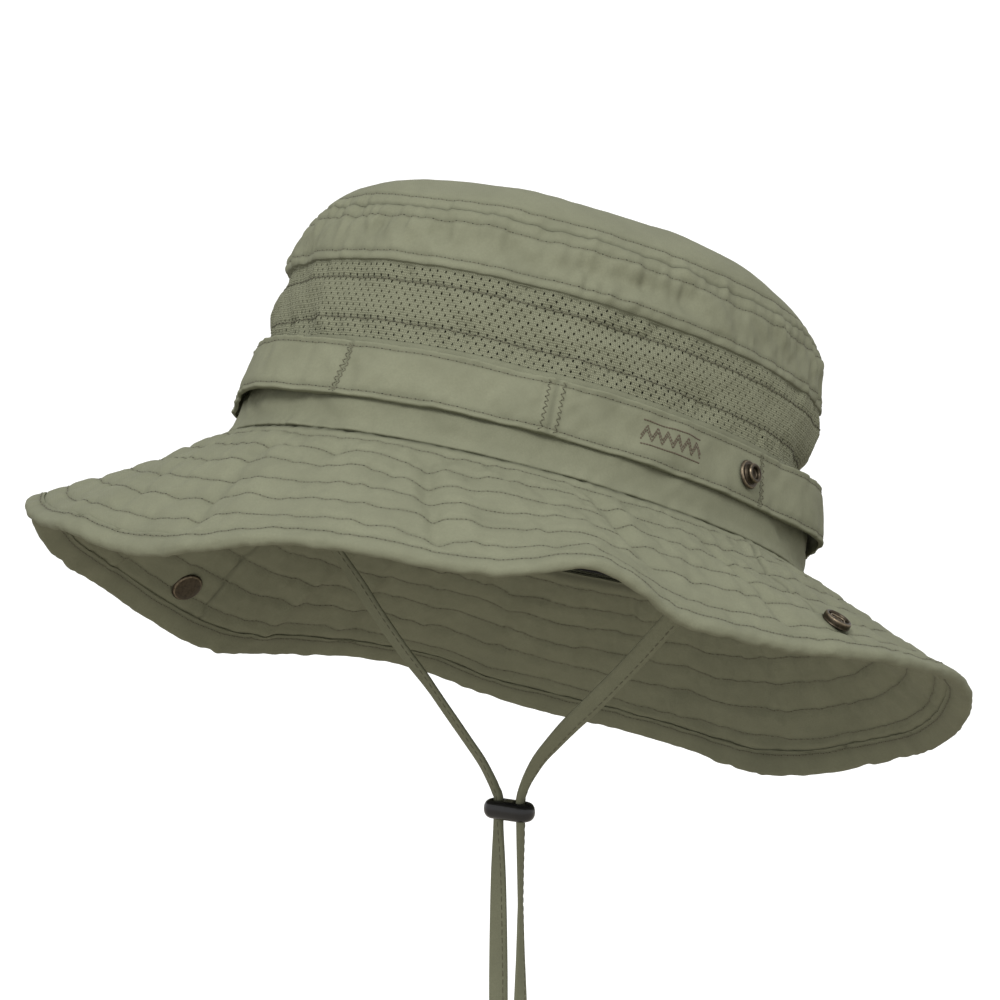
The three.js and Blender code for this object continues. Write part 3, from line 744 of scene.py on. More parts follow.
class Graph:
    """Short calls for writing a material's nodes; the values may be numbers, colours or sockets."""

    def __init__(self, name):
        self.material = bpy.data.materials.new(name)
        self.material.use_nodes = True
        self.tree = self.material.node_tree
        self.tree.nodes.clear()
        output = self.tree.nodes.new("ShaderNodeOutputMaterial")
        self.shader = self.tree.nodes.new("ShaderNodeBsdfPrincipled")
        self.tree.links.new(self.shader.outputs[0], output.inputs[0])

    def node(self, kind, inputs=None, **settings):
        made = self.tree.nodes.new(kind)
        for key, value in settings.items():
            setattr(made, key, value)
        for key, value in (inputs or {}).items():
            self.feed(made.inputs[key], value)
        return made

    def feed(self, socket, value):
        if isinstance(value, bpy.types.NodeSocket):
            self.tree.links.new(value, socket)
        else:
            socket.default_value = value

    def math(self, operation, first, second=0.0):
        return self.node("ShaderNodeMath", {0: first, 1: second}, operation=operation).outputs[0]

    def mix(self, share, first, second):
        colours = [(*c, 1) if isinstance(c, tuple) else c for c in (first, second)]
        made = self.node("ShaderNodeMix", {0: share, 6: colours[0], 7: colours[1]}, data_type="RGBA")
        return made.outputs[2]

    def noise(self, scale, detail=3.0, roughness=0.55):
        place = self.node("ShaderNodeTexCoord").outputs["Object"]
        made = self.node("ShaderNodeTexNoise", {"Vector": place, "Scale": scale})
        made.inputs["Detail"].default_value = detail
        made.inputs["Roughness"].default_value = roughness
        return made.outputs[0]

    def ramp(self, value, low, high):
        made = self.node("ShaderNodeMapRange", {0: value, 1: low, 2: high}, clamp=True)
        return made.outputs[0]

    def mark(self, name):
        """One of the marks that build and polygons store at a mesh's points."""
        return self.node("ShaderNodeAttribute", attribute_name=name).outputs["Fac"]

    def threads(self, pitches):
        """A wave across each of the two cloth coordinates, which are in millimetres."""
        grain = self.node("ShaderNodeUVMap", uv_map="cloth").outputs[0]
        split = self.node("ShaderNodeSeparateXYZ", {0: grain})
        return [
            self.math("SINE", self.math("MULTIPLY", split.outputs[k], math.pi / pitch))
            for k, pitch in enumerate(pitches)
        ]

    def bump(self, height, strength, distance):
        made = self.node("ShaderNodeBump", {"Height": height, "Strength": strength, "Distance": distance})
        self.tree.links.new(made.outputs[0], self.shader.inputs["Normal"])

    def finish(self, colour, roughness, metallic=0.0, **constants):
        self.feed(self.shader.inputs["Base Color"], (*colour, 1) if isinstance(colour, tuple) else colour)
        self.feed(self.shader.inputs["Roughness"], roughness)
        self.shader.inputs["Metallic"].default_value = metallic
        for key, value in constants.items():
            self.shader.inputs[key.replace("_", " ")].default_value = value
        return self.material


def scaled(colour, factor):
    """A colour made darker or lighter."""
    return tuple(factor * c for c in colour)


def weave_height(graph, pitch):
    """Plain weave: threads pass over and under in turn."""
    warp, weft = graph.threads((pitch, pitch))
    over = graph.math("GREATER_THAN", graph.math("MULTIPLY", warp, weft), 0.0)
    upper = graph.math("MULTIPLY", over, graph.math("ABSOLUTE", warp))
    lower = graph.math("MULTIPLY", graph.math("SUBTRACT", 1.0, over), graph.math("ABSOLUTE", weft))
    return graph.math("ADD", upper, lower)


# How far the painted crease shade darkens the colour towards half of it, and the cloth's specular level
CREASED = 0.45
CLOTH_SHINE = 0.2
# Pitches of the mesh's ribs and loops in mm
KNIT = (0.56, 0.7)


def woven(name, colour, pitch=0.42, strength=0.35, sheen=0.0, roughness=0.85):
    """Matt woven cloth: weave, slubs, faint mottling, and painted shade darkening it along its creases."""
    graph = Graph(name)
    mottle = graph.ramp(graph.noise(70, 5, 0.6), 0.32, 0.68)
    slub = graph.ramp(graph.noise(1500, 2, 0.7), 0.3, 0.7)
    tint = graph.mix(mottle, scaled(colour, 0.92), scaled(colour, 1.09))
    tint = graph.mix(graph.math("MULTIPLY", slub, 0.5), tint, scaled(colour, 0.84))
    # Painted shade: the colour darkens where the crease mark says, for the shadow in creases and stitch rows
    painted_crease_shade = graph.math("MULTIPLY", graph.mark("crease"), CREASED)
    tint = graph.mix(painted_crease_shade, tint, scaled(colour, 0.5))
    height = graph.math("ADD", weave_height(graph, pitch), graph.math("MULTIPLY", slub, 0.6))
    graph.bump(height, strength, 0.00012)
    return graph.finish(
        tint, roughness, Sheen_Weight=sheen, Sheen_Roughness=0.45, Specular_IOR_Level=CLOTH_SHINE,
    )


def knitted(name, colour):
    """Knitted mesh: fine upright ribs between its holes."""
    graph = Graph(name)
    ribs, loops = (graph.math("ABSOLUTE", wave) for wave in graph.threads(KNIT))
    fuzz = graph.noise(1800, 3, 0.7)
    height = graph.math("ADD", graph.math("MULTIPLY", ribs, loops), graph.math("MULTIPLY", fuzz, 0.8))
    shade = graph.ramp(height, 0.3, 1.3)
    tint = graph.mix(shade, scaled(colour, 0.76), scaled(colour, 1.16))
    # Painted shade: the colour darkens where the crease mark says, for the shadow in creases and stitch rows
    painted_crease_shade = graph.math("MULTIPLY", graph.mark("crease"), CREASED)
    tint = graph.mix(painted_crease_shade, tint, scaled(colour, 0.5))
    graph.bump(height, 0.8, 0.0003)
    return graph.finish(tint, 0.86, Specular_IOR_Level=CLOTH_SHINE)


def spun(name, colour, roughness=0.7):
    """Sewing thread."""
    graph = Graph(name)
    fibre = graph.noise(3200, 2, 0.6)
    tint = graph.mix(graph.ramp(fibre, 0.35, 0.65), scaled(colour, 0.8), scaled(colour, 1.2))
    graph.bump(fibre, 0.4, 0.0001)
    return graph.finish(tint, roughness, Specular_IOR_Level=0.3)


def antique_brass():
    """Darkened brass, rubbed bright where the wear mark says."""
    graph = Graph("antique_brass")
    patina = graph.ramp(graph.noise(900, 5, 0.65), 0.35, 0.68)
    tint = graph.mix(patina, scaled(ANTIQUE, 0.7), scaled(ANTIQUE, 1.5))
    rubbed = graph.math("MULTIPLY", graph.mark("wear"), graph.ramp(graph.noise(1500, 3), 0.2, 0.6))
    tint = graph.mix(rubbed, tint, RUBBED)
    graph.bump(graph.noise(2600, 3), 0.25, 0.00008)
    rough = graph.ramp(patina, -1.2, 2.6)
    return graph.finish(tint, rough, 0.9, Specular_IOR_Level=0.5)


def glossy_plastic():
    """The cord lock's black moulding, with a faint flow in it."""
    graph = Graph("glossy_plastic")
    flow = graph.noise(420, 3, 0.5)
    tint = graph.mix(flow, scaled(BLACK, 0.8), scaled(BLACK, 1.5))
    graph.bump(flow, 0.12, 0.0002)
    return graph.finish(tint, 0.24, Specular_IOR_Level=0.35, Coat_Weight=0.3, Coat_Roughness=0.08)


SHELL = woven("shell_cloth", SAGE)
STRAP_CLOTH = woven("strap_cloth", scaled(SAGE, 1.02), strength=0.3)
TAPE_CLOTH = woven("tape_cloth", scaled(SAGE, 0.92))
CORD_CLOTH = woven("cord_cloth", scaled(SAGE, 1.04), strength=0.4)
CORE_CLOTH = woven("core_cloth", (0.42, 0.42, 0.38), pitch=0.9, strength=0.2)
BAND_CLOTH = woven("sweatband_cloth", BLACK, pitch=0.6, strength=0.6, sheen=0.35, roughness=0.92)
LABEL_CLOTH = woven("label_cloth", (0.62, 0.6, 0.54), pitch=0.3, strength=0.25, roughness=0.6)
MESH_CLOTH = knitted("mesh_cloth", MESH_SAGE)
THREAD = spun("sewing_thread", SHADED_THREAD_SAGE)
# Painted shade for the needle holes
NEEDLE = spun("needle_hole_shade", NEEDLE_SHADE_DARK, 0.9)
MOTIF_THREAD = spun("motif_thread", MOTIF_BROWN, 0.55)
BRASS = antique_brass()
PLASTIC = glossy_plastic()


# ---------------------------------------------------------------- camera and cords

def place_camera():
    """The camera, from the side and a little above, with its aim a few millimetres off the origin."""
    back = towards(CAMERA_AZIMUTH, CAMERA_ELEVATION)
    right = Vector((math.cos(CAMERA_AZIMUTH), math.sin(CAMERA_AZIMUTH), 0))
    up = back.cross(right)
    eye = right * CAMERA_ASIDE + up * CAMERA_RAISED + back * CAMERA_DISTANCE
    data = bpy.data.cameras.new("camera")
    data.lens = CAMERA_LENS
    data.sensor_width = 36
    data.clip_start = 0.05
    data.dof.use_dof = False
    camera = linked("camera", data)
    camera.matrix_world = Matrix.Translation(eye) @ Matrix((right, up, back)).transposed().to_4x4()
    bpy.context.scene.camera = camera


def strip_axes(path, facing):
    """The directions aside and out of a strip whose face looks one way at each point of a path."""
    ahead = unit(np.gradient(path, axis=0))
    aside = unit(np.cross(facing, ahead))
    return aside, unit(np.cross(ahead, aside))


def sweep(name, path, wide, facing, outline):
    """A cord swept along a path: its outline (aside, out) is scaled by wide at each point."""
    aside, out = strip_axes(path, facing)
    rows, columns = len(path), len(outline)
    places = path[:, None] + aside[:, None] * (outline[None, :, :1] * wide[:, None, :1])
    places = places + out[:, None] * (outline[None, :, 1:] * wide[:, None, 1:])
    index = np.arange(rows * columns).reshape(rows, columns)
    around = np.roll(index, -1, 1)
    faces = quads(index[:-1], index[1:], around[1:], around[:-1])
    centres = np.array([[rows * columns], [rows * columns + 1]])
    closed = np.stack([np.repeat(centres[0], columns), index[0], around[0]], -1).tolist()
    closed += np.stack([np.repeat(centres[1], columns), around[-1], index[-1]], -1).tolist()
    points = np.concatenate([places.reshape(-1, 3), path[[0, -1]]])
    run = path_run(path) / MM
    grain = np.stack(np.meshgrid(run, np.linspace(0, CORD_GIRTH, columns), indexing="ij"), -1)
    grain = np.concatenate([grain.reshape(-1, 2), [[0, 0], [run[-1], 0]]])
    return polygons(name, points, faces.tolist() + closed, CORD_CLOTH, grain)


def closed_tube(ring, aside, out, section):
    """Points and faces of a section (aside, out) swept round a closed ring."""
    points = ring[:, None] + aside[:, None] * section[None, :, :1] + out[:, None] * section[None, :, 1:]
    index = np.arange(len(ring) * len(section)).reshape(len(ring), len(section))
    there = np.roll(index, -1, 0)
    return points.reshape(-1, 3), quads(index, there, np.roll(there, -1, 1), np.roll(index, -1, 1))


def rounded_strip(power=5.0, count=20):
    """A flat strip's section one unit wide and one thick; its edges get softer as power falls."""
    turn = np.linspace(0, 2 * math.pi, count, endpoint=False)
    c, s = np.cos(turn), np.sin(turn)
    wide = np.sign(c) * np.abs(c) ** (2 / power) / 2
    thick = np.sign(s) * np.abs(s) ** (2 / 2.6) / 2
    return np.stack([wide, thick], -1)


# Which way each strand's face looks: share of its length, azimuth in degrees
STRAND_FACING = {
    "left": [
        (0, 88), (0.05, 60), (0.1, 45), (0.24, 40), (0.3, 62), (0.36, 82), (0.4, 104), (0.5, 118),
        (0.56, 104), (0.62, 84), (0.8, 96), (1, 88),
    ],
    "right": [
        (0, -88), (0.05, -40), (0.11, -14), (0.18, -24), (0.25, -38), (0.33, -40), (0.38, -28),
        (0.46, -8), (0.58, 20), (0.8, 30), (1, 30),
    ],
}
# Width and thickness where the strand is gathered in the lock, how far that reaches, and at its end
GATHERED = (0.0034, 0.0022)
GATHER_REACH = 0.009
END_REACH = 0.008
END_GATHER = 0.7


def looking(azimuth):
    """Level directions at azimuths in radians."""
    return np.stack([np.sin(azimuth), -np.cos(azimuth), np.zeros_like(azimuth)], -1)


def strand_frame(side):
    """Path, widths and facing of one flat strand, gathered in the lock and at the knot."""
    path = spline([(x, CORD_Y, z) for x, z in CORD_ROUTES[side]], 12)
    share = path_run(path) / path_run(path)[-1]
    stations = np.array(STRAND_FACING[side], float)
    azimuth = np.radians(np.interp(share, stations[:, 0], stations[:, 1]))
    gather = bell((path[:, 2] - SLIDER_Z) / GATHER_REACH) ** 0.6
    at_end = bell((path[:, 2] - path[-1, 2]) / END_REACH)
    gather = np.maximum(gather, END_GATHER * at_end)[:, None]
    flat = np.array([CORD_WIDTH, CORD_THICK])
    return path, flat + (np.array(GATHERED) - flat) * gather, looking(azimuth)


def make_strand(side):
    """One flat strand of the chin cord, and its path."""
    path, wide, facing = strand_frame(side)
    ribbon = sweep(f"chin_cord_ribbon_{side}", path, wide, facing, rounded_strip())
    return settle(ribbon, "cord_fabric", "chin_cord", f"chin_cord_{side}"), path


def strand_stitches(side):
    """One row of stitches along each face of the strand, near its edge."""
    path, wide, facing = strand_frame(side)
    aside, out = strip_axes(path, facing)
    keep = slice(3, -4)
    lines = []
    for face in (1, -1):
        place = path + aside * wide[:, :1] * 0.26 + out * face * (wide[:, 1:] * 0.5)
        lines.append((place[keep] / MM, out[keep] * face))
    stitches = [stitch_points(line, up, 2.6, 0.82, 0.16) * MM for line, up in lines]
    points, faces = gathered(stitches, stitch_faces())
    thread = polygons(f"cord_thread_{side}", points, faces.tolist(), THREAD)
    return settle(thread, "cord_fabric", "chin_cord")


# One strand's way through the knot, about its middle
KNOT_STRAND = [
    (0.0024, 0, 0.0085), (0.0020, 0, 0.0050), (0.0004, -0.0004, 0), (-0.0010, 0, -0.0045),
    (-0.0026, 0, -0.0095), (-0.0042, -0.001, -0.0160),
]
KNOT_SIZE = (0.00135, 0.00115, 0.0036)
KNOT_CORD = (0.0052, 0.0034)
KNOT_END = (0.0043, 0.0020)
KNOT_END_SPREAD = (0.0011, -0.0008)
KNOT_END_AZIMUTH = 26


def make_knot():
    """An overhand knot that ties both strands, which run through it to two short ends."""
    turn = np.linspace(0, 2 * math.pi, 121)[:-1]
    trefoil = [np.sin(turn) + 2 * np.sin(2 * turn), np.cos(turn) - 2 * np.cos(2 * turn), -np.sin(3 * turn)]
    centre = np.array([LOCK_X, CORD_Y, KNOT_Z])
    loop = np.stack(trefoil, -1) * np.array(KNOT_SIZE) + centre
    ahead = unit(np.roll(loop, -1, 0) - np.roll(loop, 1, 0))
    aside = unit(np.cross(ahead, unit(loop - centre)))
    section = rounded_strip(2.4, 14) * np.array(KNOT_CORD)
    points, faces = closed_tube(loop, aside, np.cross(aside, ahead), section)
    run, girth = np.arange(len(loop)) * 0.5, np.linspace(0, 12, len(section))
    grain = np.stack(np.meshgrid(run, girth, indexing="ij"), -1).reshape(-1, 2)
    knot = build("knot_ties", points, faces, CORD_CLOTH, grain)
    settle(knot, "cord_fabric", "chin_cord", "cord_knot")
    ends = []
    for side, name, azimuth in ((1, "left", 88), (-1, "right", 30)):
        path = spline([(side * x, y, z) for x, y, z in KNOT_STRAND], 8) + centre
        share = np.linspace(0, 1, len(path))
        wide = np.array(KNOT_END) + np.array(KNOT_END_SPREAD) * share[:, None]
        facing = looking(np.radians(azimuth * (1 - share) + KNOT_END_AZIMUTH * side * share))
        end = sweep(f"knot_end_{name}", path, wide, facing, rounded_strip())
        ends.append(settle(end, "cord_fabric", "chin_cord"))
    return [knot, *ends]


# The cord lock: length, width, height, how far its edges draw in, and one flared hole (radius, height)
LOCK_SIZE = (0.0176, 0.0082, 0.0060)
LOCK_ROUNDING = 0.0027
LOCK_HOLE = [
    (0, -0.006), (0.0031, -0.006), (0.0026, -0.0029), (0.00215, -0.0022), (0.0020, 0),
    (0.00215, 0.0022), (0.0026, 0.0029), (0.0031, 0.006), (0, 0.006),
]


def make_slider():
    """The cord lock: a glossy pill with two flared holes."""
    length, width, height = LOCK_SIZE
    turn = np.linspace(0, 2 * math.pi, 72, endpoint=False)
    half = (length - width) / 2
    levels = np.linspace(-math.pi / 2, math.pi / 2, 17)
    rings = []
    for level in levels[1:-1]:
        inset = LOCK_ROUNDING * (1 - abs(math.cos(level)) ** 0.85)
        high = height / 2 * np.sign(level) * abs(math.sin(level)) ** 0.9
        radius = width / 2 - inset
        x = np.where(np.cos(turn) >= 0, half, -half) * (np.abs(np.cos(turn)) > 1e-9) + radius * np.cos(turn)
        rings.append(np.stack([x, radius * np.sin(turn), np.full_like(turn, high)], -1))
    points = np.concatenate(rings)
    index = np.arange(len(points)).reshape(len(rings), len(turn))
    faces = quads(index[:-1], np.roll(index[:-1], -1, 1), np.roll(index[1:], -1, 1), index[1:]).tolist()
    faces.append(index[0][::-1].tolist())
    faces.append(index[-1].tolist())
    body = polygons("cord_lock_body", points + np.array([LOCK_X, CORD_Y, SLIDER_Z]), faces, PLASTIC)
    for side in (-1, 1):
        seat = (LOCK_X + side * SLIDER_HOLE, CORD_Y, SLIDER_Z)
        cutter = turned("cutter", LOCK_HOLE, seat, (0, 0, 1), PLASTIC, 32)
        cut = body.modifiers.new("bore", "BOOLEAN")
        cut.operation = "DIFFERENCE"
        cut.solver = "EXACT"
        cut.object = cutter
        apply_modifiers(body)
        bpy.data.objects.remove(cutter)
    body.data.shade_smooth()
    body.data.set_sharp_from_angle(angle=math.radians(40))
    return settle(body, "slider_plastic", "cord_lock", "cord_slider")


def apply_modifiers(piece):
    """Makes a piece's modifiers part of its mesh."""
    graph = bpy.context.evaluated_depsgraph_get()
    mesh = bpy.data.meshes.new_from_object(piece.evaluated_get(graph))
    piece.modifiers.clear()
    piece.data = mesh


def upright_to(direction):
    """The rotation that takes Z to a direction."""
    return np.array(Vector((0, 0, 1)).rotation_difference(Vector(direction)).to_matrix())


def turned(name, profile, place, direction, material, sides=48, wear=None):
    """A turned piece from (radius, height) points that start and end on the axis, in metres."""
    turn = np.linspace(0, 2 * math.pi, sides, endpoint=False)
    inner = profile[1:-1]
    rings = [np.stack([r * np.cos(turn), r * np.sin(turn), np.full(sides, h)], -1) for r, h in inner]
    local = np.concatenate([*rings, [[0, 0, profile[0][1]], [0, 0, profile[-1][1]]]])
    points = local @ upright_to(direction).T + np.array(place)
    index = np.arange(len(inner) * sides).reshape(len(inner), sides)
    around = np.roll(index, -1, 1)
    faces = quads(index[:-1], around[:-1], around[1:], index[1:]).tolist()
    low, high = len(points) - 2, len(points) - 1
    faces += [[low, int(b), int(a)] for a, b in zip(index[0], around[0])]
    faces += [[high, int(a), int(b)] for a, b in zip(index[-1], around[-1])]
    marks = {}
    if wear is not None:
        marks["wear"] = np.concatenate([np.repeat(wear[1:-1], sides), [wear[0], wear[-1]]])
    return polygons(name, points, faces, material, **marks)


def make_cords():
    """The knot, the lock and both strands."""
    knot = make_knot()
    slider = make_slider()
    for side in ("left", "right"):
        ribbon, path = make_strand(side)
        strand_stitches(side)


# ---------------------------------------------------------------- crown

ROUND = 720
INNER_ROUND = 480
BACK = 90
# A distance out along the crown's normal that lies well inside the hat
DEEP_INSIDE = -40


def ring_angles(count=ROUND):
    """Angles once round the hat, from its back."""
    return np.radians(BACK + np.arange(count) * 360 / count)


def band_grain(phi, run):
    """Cloth coordinates of a band of the crown, in millimetres."""
    return np.stack([phi * MEAN_RADIUS * 0.94, run], -1)


def inward_from(point, phi, run):
    """The directions from points of the crown into the hat."""
    return unit(crown(phi, run, DEEP_INSIDE) - point)


def sew_on(name, lines, slot, *settings):
    """Thread on a part of the crown."""
    return settle(sew(name, lines, THREAD, *settings), slot, "root")


def crown_ring(name, face, runs, thick, material, marks, slot, node, count=ROUND):
    """A band of the crown between two seams, with painted shade darkening it along its marks."""
    phi, run = np.meshgrid(ring_angles(count), runs, indexing="ij")
    outside = face(phi, run)
    inside = outside - outward_of(face, phi, run) * thick
    # Painted shade along each seam and stitch row listed in marks
    crease = np.zeros_like(run)
    for line in marks:
        crease = np.maximum(crease, bell((run - line) / 0.7))
    piece = cloth_shell(name, outside, inside, material, True, band_grain(phi, run), crease)
    return settle(piece, slot, "root", node)


def make_tip():
    """The oval top, closed at its centre."""
    seam = run_at(TIP_SEAM)
    near_seam, middle = edged(seam, seam + 9, 0.6)[:-3], edged(seam + 10, CROWN_END - 3, 1.5)
    runs = np.concatenate([near_seam, middle, [CROWN_END - 1.2]])
    phi, run = np.meshgrid(ring_angles(), runs, indexing="ij")
    outside = tip_face(phi, run)
    inside = crown(phi, run, crown_relief(phi, run) + tip_relief(phi, run) - 0.55)
    rows, columns = run.shape
    centres = [outside[:, -1].mean(0), inside[:, -1].mean(0)]
    points = np.concatenate([outside.reshape(-1, 3), inside.reshape(-1, 3), centres])
    # The last faces would be a wall round the middle; triangles to the two centres close it instead
    faces = shell_faces(rows, columns, True)[:-rows].tolist()
    here = np.arange(rows) * columns + columns - 1
    there = np.roll(here, -1)
    layer = rows * columns
    faces += [[int(a), int(b), 2 * layer] for a, b in zip(here, there)]
    faces += [[int(b) + layer, int(a) + layer, 2 * layer + 1] for a, b in zip(here, there)]
    # Painted shade along the tip's stitch row and its seam
    marked = np.maximum(bell((run - TIP_LINE) / 0.7), bell((run - seam) / 0.7)).ravel()
    crease = np.concatenate([marked, marked, [0, 0]])
    piece = polygons("crown_top_cloth", to_row(points), faces, SHELL, points[:, :2], crease=crease)
    return settle(piece, "shell_fabric", "root", "crown_tip")


# Mesh: holes round it, rows of holes, half width and half height of a hole and depth of the knit in mm
HOLES_ROUND = 195
HOLE_ROWS = 16
HOLE_HALF = (0.3, 0.5)
MESH_DEPTH = 0.42
# How far each ring of a cell is sunk: its border, its middle and its hole
CELL_SINKS = (0.04, 0.0, 0.1)
# Points of one ring of a cell, of its three rings, and of both its sides
RING_POINTS = 8
SIDE_POINTS = 24
CELL_POINTS = 48


def make_mesh_panel():
    """The knitted mesh: staggered rows of oval holes, each hole in its own cell of cloth."""
    low, high = run_at(LOWER_SEAM) - 0.8, run_at(UPPER_SEAM) + 1.2
    tall = (high - low) / HOLE_ROWS
    wide = 2 * math.pi * MEAN_RADIUS * 0.935 / HOLES_ROUND
    corners = np.array([(0, 0), (0.5, 0), (1, 0), (1, 0.5), (1, 1), (0.5, 1), (0, 1), (0, 0.5)]) - 0.5
    turn = np.arctan2(corners[:, 1] * tall, corners[:, 0] * wide)
    hole = np.stack([np.cos(turn) * HOLE_HALF[0] / wide, np.sin(turn) * HOLE_HALF[1] / tall], -1)
    middle = hole * 0.45 + corners * 0.55
    rings = [corners, middle, hole]
    cell, row = np.meshgrid(np.arange(HOLES_ROUND), np.arange(HOLE_ROWS), indexing="ij")
    sides = []
    for depth in (0.0, MESH_DEPTH):
        for ring, sink in zip(rings, CELL_SINKS):
            across = cell[..., None] + 0.5 + (row[..., None] % 2) * 0.5 + ring[:, 0]
            up = row[..., None] + 0.5 + ring[:, 1]
            phi = np.radians(BACK) + across / HOLES_ROUND * 2 * math.pi
            run = low + up * tall
            face = mesh_face(phi, run)
            sink_here = sink if depth == 0 else -sink
            sides.append((face + inward_from(face, phi, run) * (depth + sink_here), phi, run))
    points, phis, runs = (np.stack(values, 2) for values in zip(*sides))
    base = np.arange(HOLES_ROUND * HOLE_ROWS)[:, None] * CELL_POINTS
    k = np.arange(RING_POINTS)
    n = (k + 1) % RING_POINTS
    faces = []
    for ring in (0, 1):
        outer = base + ring * RING_POINTS
        inner = outer + RING_POINTS
        faces.append(quads(outer + k, outer + n, inner + n, inner + k))
        outer, inner = outer + SIDE_POINTS, inner + SIDE_POINTS
        faces.append(quads(outer + n, outer + k, inner + k, inner + n))
    hole = base + 2 * RING_POINTS
    faces.append(quads(hole + k, hole + n, hole + SIDE_POINTS + n, hole + SIDE_POINTS + k))
    bottom = (np.arange(HOLES_ROUND) * HOLE_ROWS)[:, None] * CELL_POINTS
    top = bottom + (HOLE_ROWS - 1) * CELL_POINTS
    for edge, pairs in ((bottom, ((0, 1), (1, 2))), (top, ((4, 5), (5, 6)))):
        for a, b in pairs:
            faces.append(quads(edge + b, edge + a, edge + SIDE_POINTS + a, edge + SIDE_POINTS + b))
    return weld_mesh_panel(points.reshape(-1, 3), phis.ravel(), runs.ravel(), np.concatenate(faces))


def weld_mesh_panel(points, phi, run, faces):
    """Joins the cells' shared edges into one cloth."""
    _, first, where = np.unique(np.round(points, 3), axis=0, return_index=True, return_inverse=True)
    # Painted shade along the mesh's stitch rows, and a darker painted shadow under the upper band's edge
    marks = np.zeros(len(first))
    for line in MESH_LINES:
        marks = np.maximum(marks, 0.6 * bell((run[first] - line) / 0.7))
    marks = np.maximum(marks, bell((run[first] - run_at(UPPER_SEAM)) / 0.8))
    grain = band_grain(phi[first], run[first])
    faces = where.ravel()[faces]
    piece = build("crown_mesh_cloth", to_row(points[first]), faces, MESH_CLOTH, grain, 60, crease=marks)
    return settle(piece, "mesh_fabric", "root", "crown_mesh_panel")


def inner_ring(name, low, high, out, thick, material, slot, node, seed, stitched=()):
    """A band inside the crown, between two heights: a seam tape or the sweatband. Also its face."""
    runs = edged(run_at(low), run_at(high), 1.6)

    def face(phi, run):
        slack = 0.12 * round_waves(phi, run / 8, seed, 90)
        edge = rolled(run, runs[0], runs[-1], thick * 0.4, 0.5)
        return crown(phi, run, crown_relief(phi, run) + out + slack + edge)

    marks = [run_at(height) for height in stitched]
    crown_ring(name, face, runs, thick, material, marks, slot, node, INNER_ROUND)
    return face


def make_crown():
    """The outside of the crown and its stitching."""
    upper, lower = run_at(UPPER_SEAM), run_at(LOWER_SEAM)
    seam = run_at(TIP_SEAM)
    make_tip()
    crown_ring(
        "crown_upper_cloth", band_face, edged(upper - 0.3, seam - 0.1, 0.65), CLOTH, SHELL,
        (*BAND_LINES, upper, seam), "shell_fabric", "crown_upper_band",
    )
    make_mesh_panel()
    crown_ring(
        "crown_base_cloth", base_face, edged(BASE_START, lower, 1.0), CLOTH, SHELL,
        (lower,), "shell_fabric", "crown_lower_band",
    )
    full = arc(BACK, BACK + 360, 1600)
    lines = [seat_line(tip_face, full, TIP_LINE)]
    lines += [seat_line(band_face, full, line) for line in BAND_LINES]
    lines += [seat_line(mesh_face, full, line, 1, 0.1) for line in MESH_LINES]
    sew_on("crown_stitching", lines, "shell_fabric")


# Seam tapes inside the crown: name, CAD node, lowest and highest height, place in from the crown, seed
SEAM_TAPES = [
    ("tip_seam_cover", "tip_seam_tape", TIP_SEAM - 5, TIP_SEAM + 3, -1.5, 71),
    ("upper_mesh_cover", "upper_mesh_tape", MESH_STITCHES[1] - 1.4, UPPER_SEAM + 4, -1.25, 72),
    ("lower_mesh_cover", "lower_mesh_tape", LOWER_SEAM - 4, MESH_STITCHES[0] + 1.4, -1.25, 73),
]
TAPE_THICK = 0.5
# The sweatband: lowest and highest height, place in from the crown, thickness, and its stitch rows
BAND_HEIGHTS = (2.2, 30)
BAND_OUT = -2.9
BAND_THICK = 1.0
BAND_ROWS = (4.6, 28)


def make_inside():
    """The seam tapes, and the sweatband with its label."""
    for name, node, low, high, out, seed in SEAM_TAPES:
        inner_ring(name, low, high, out, TAPE_THICK, TAPE_CLOTH, "tape_fabric", node, seed)
    face = inner_ring(
        "sweatband_cloth", *BAND_HEIGHTS, BAND_OUT, BAND_THICK, BAND_CLOTH, "sweatband_fabric", "sweatband",
        74, BAND_ROWS[1:],
    )

    def inner_side(phi, run):
        return face(phi, run) + inward_from(face(phi, run), phi, run) * BAND_THICK

    full = arc(BACK, BACK + 360, 1400)
    lines = [seat_line(inner_side, full, run_at(level), -1) for level in BAND_ROWS]
    sew_on("sweatband_stitching", lines, "sweatband_fabric")
    make_label(inner_side)


# The label: half its width and how far in its stitches are in degrees, and its heights in mm
LABEL_HALF = 5.4
LABEL_HEM = 0.5
LABEL_HEIGHTS = (5, 27)
LABEL_ROWS = (6.2, 25.8)


def make_label(under):
    """A blank woven label sewn to the sweatband at the back."""
    runs = edged(*(run_at(height) for height in LABEL_HEIGHTS), 0.9)
    phi, run = np.meshgrid(arc(BACK - LABEL_HALF, BACK + LABEL_HALF, 40), runs, indexing="ij")

    def face(angle, place):
        base = under(angle, place)
        swell = 0.12 * waves(angle * 30, place / 6, 75)
        return base + inward_from(base, angle, place) * (0.6 + swell)[..., None]

    inside = under(phi, run) + inward_from(under(phi, run), phi, run) * 0.2
    grain = np.stack([phi * MEAN_RADIUS, run], -1)
    piece = cloth_shell("label_cloth_blank", face(phi, run), inside, LABEL_CLOTH, False, grain)
    settle(piece, "label_fabric", "root", "care_label")
    rows = [run_at(height) for height in LABEL_ROWS]
    reach = LABEL_HALF - LABEL_HEM
    lines = [seat_line(face, arc(BACK - reach, BACK + reach, 60), level, -1) for level in rows]
    for edge in (-reach, reach):
        lines.append(seat_line(face, math.radians(BACK + edge), np.linspace(*rows, 60), -1))
    sew_on("label_stitching", lines, "label_fabric", 1.6, 0.8, 0.14)


# ---------------------------------------------------------------- strap

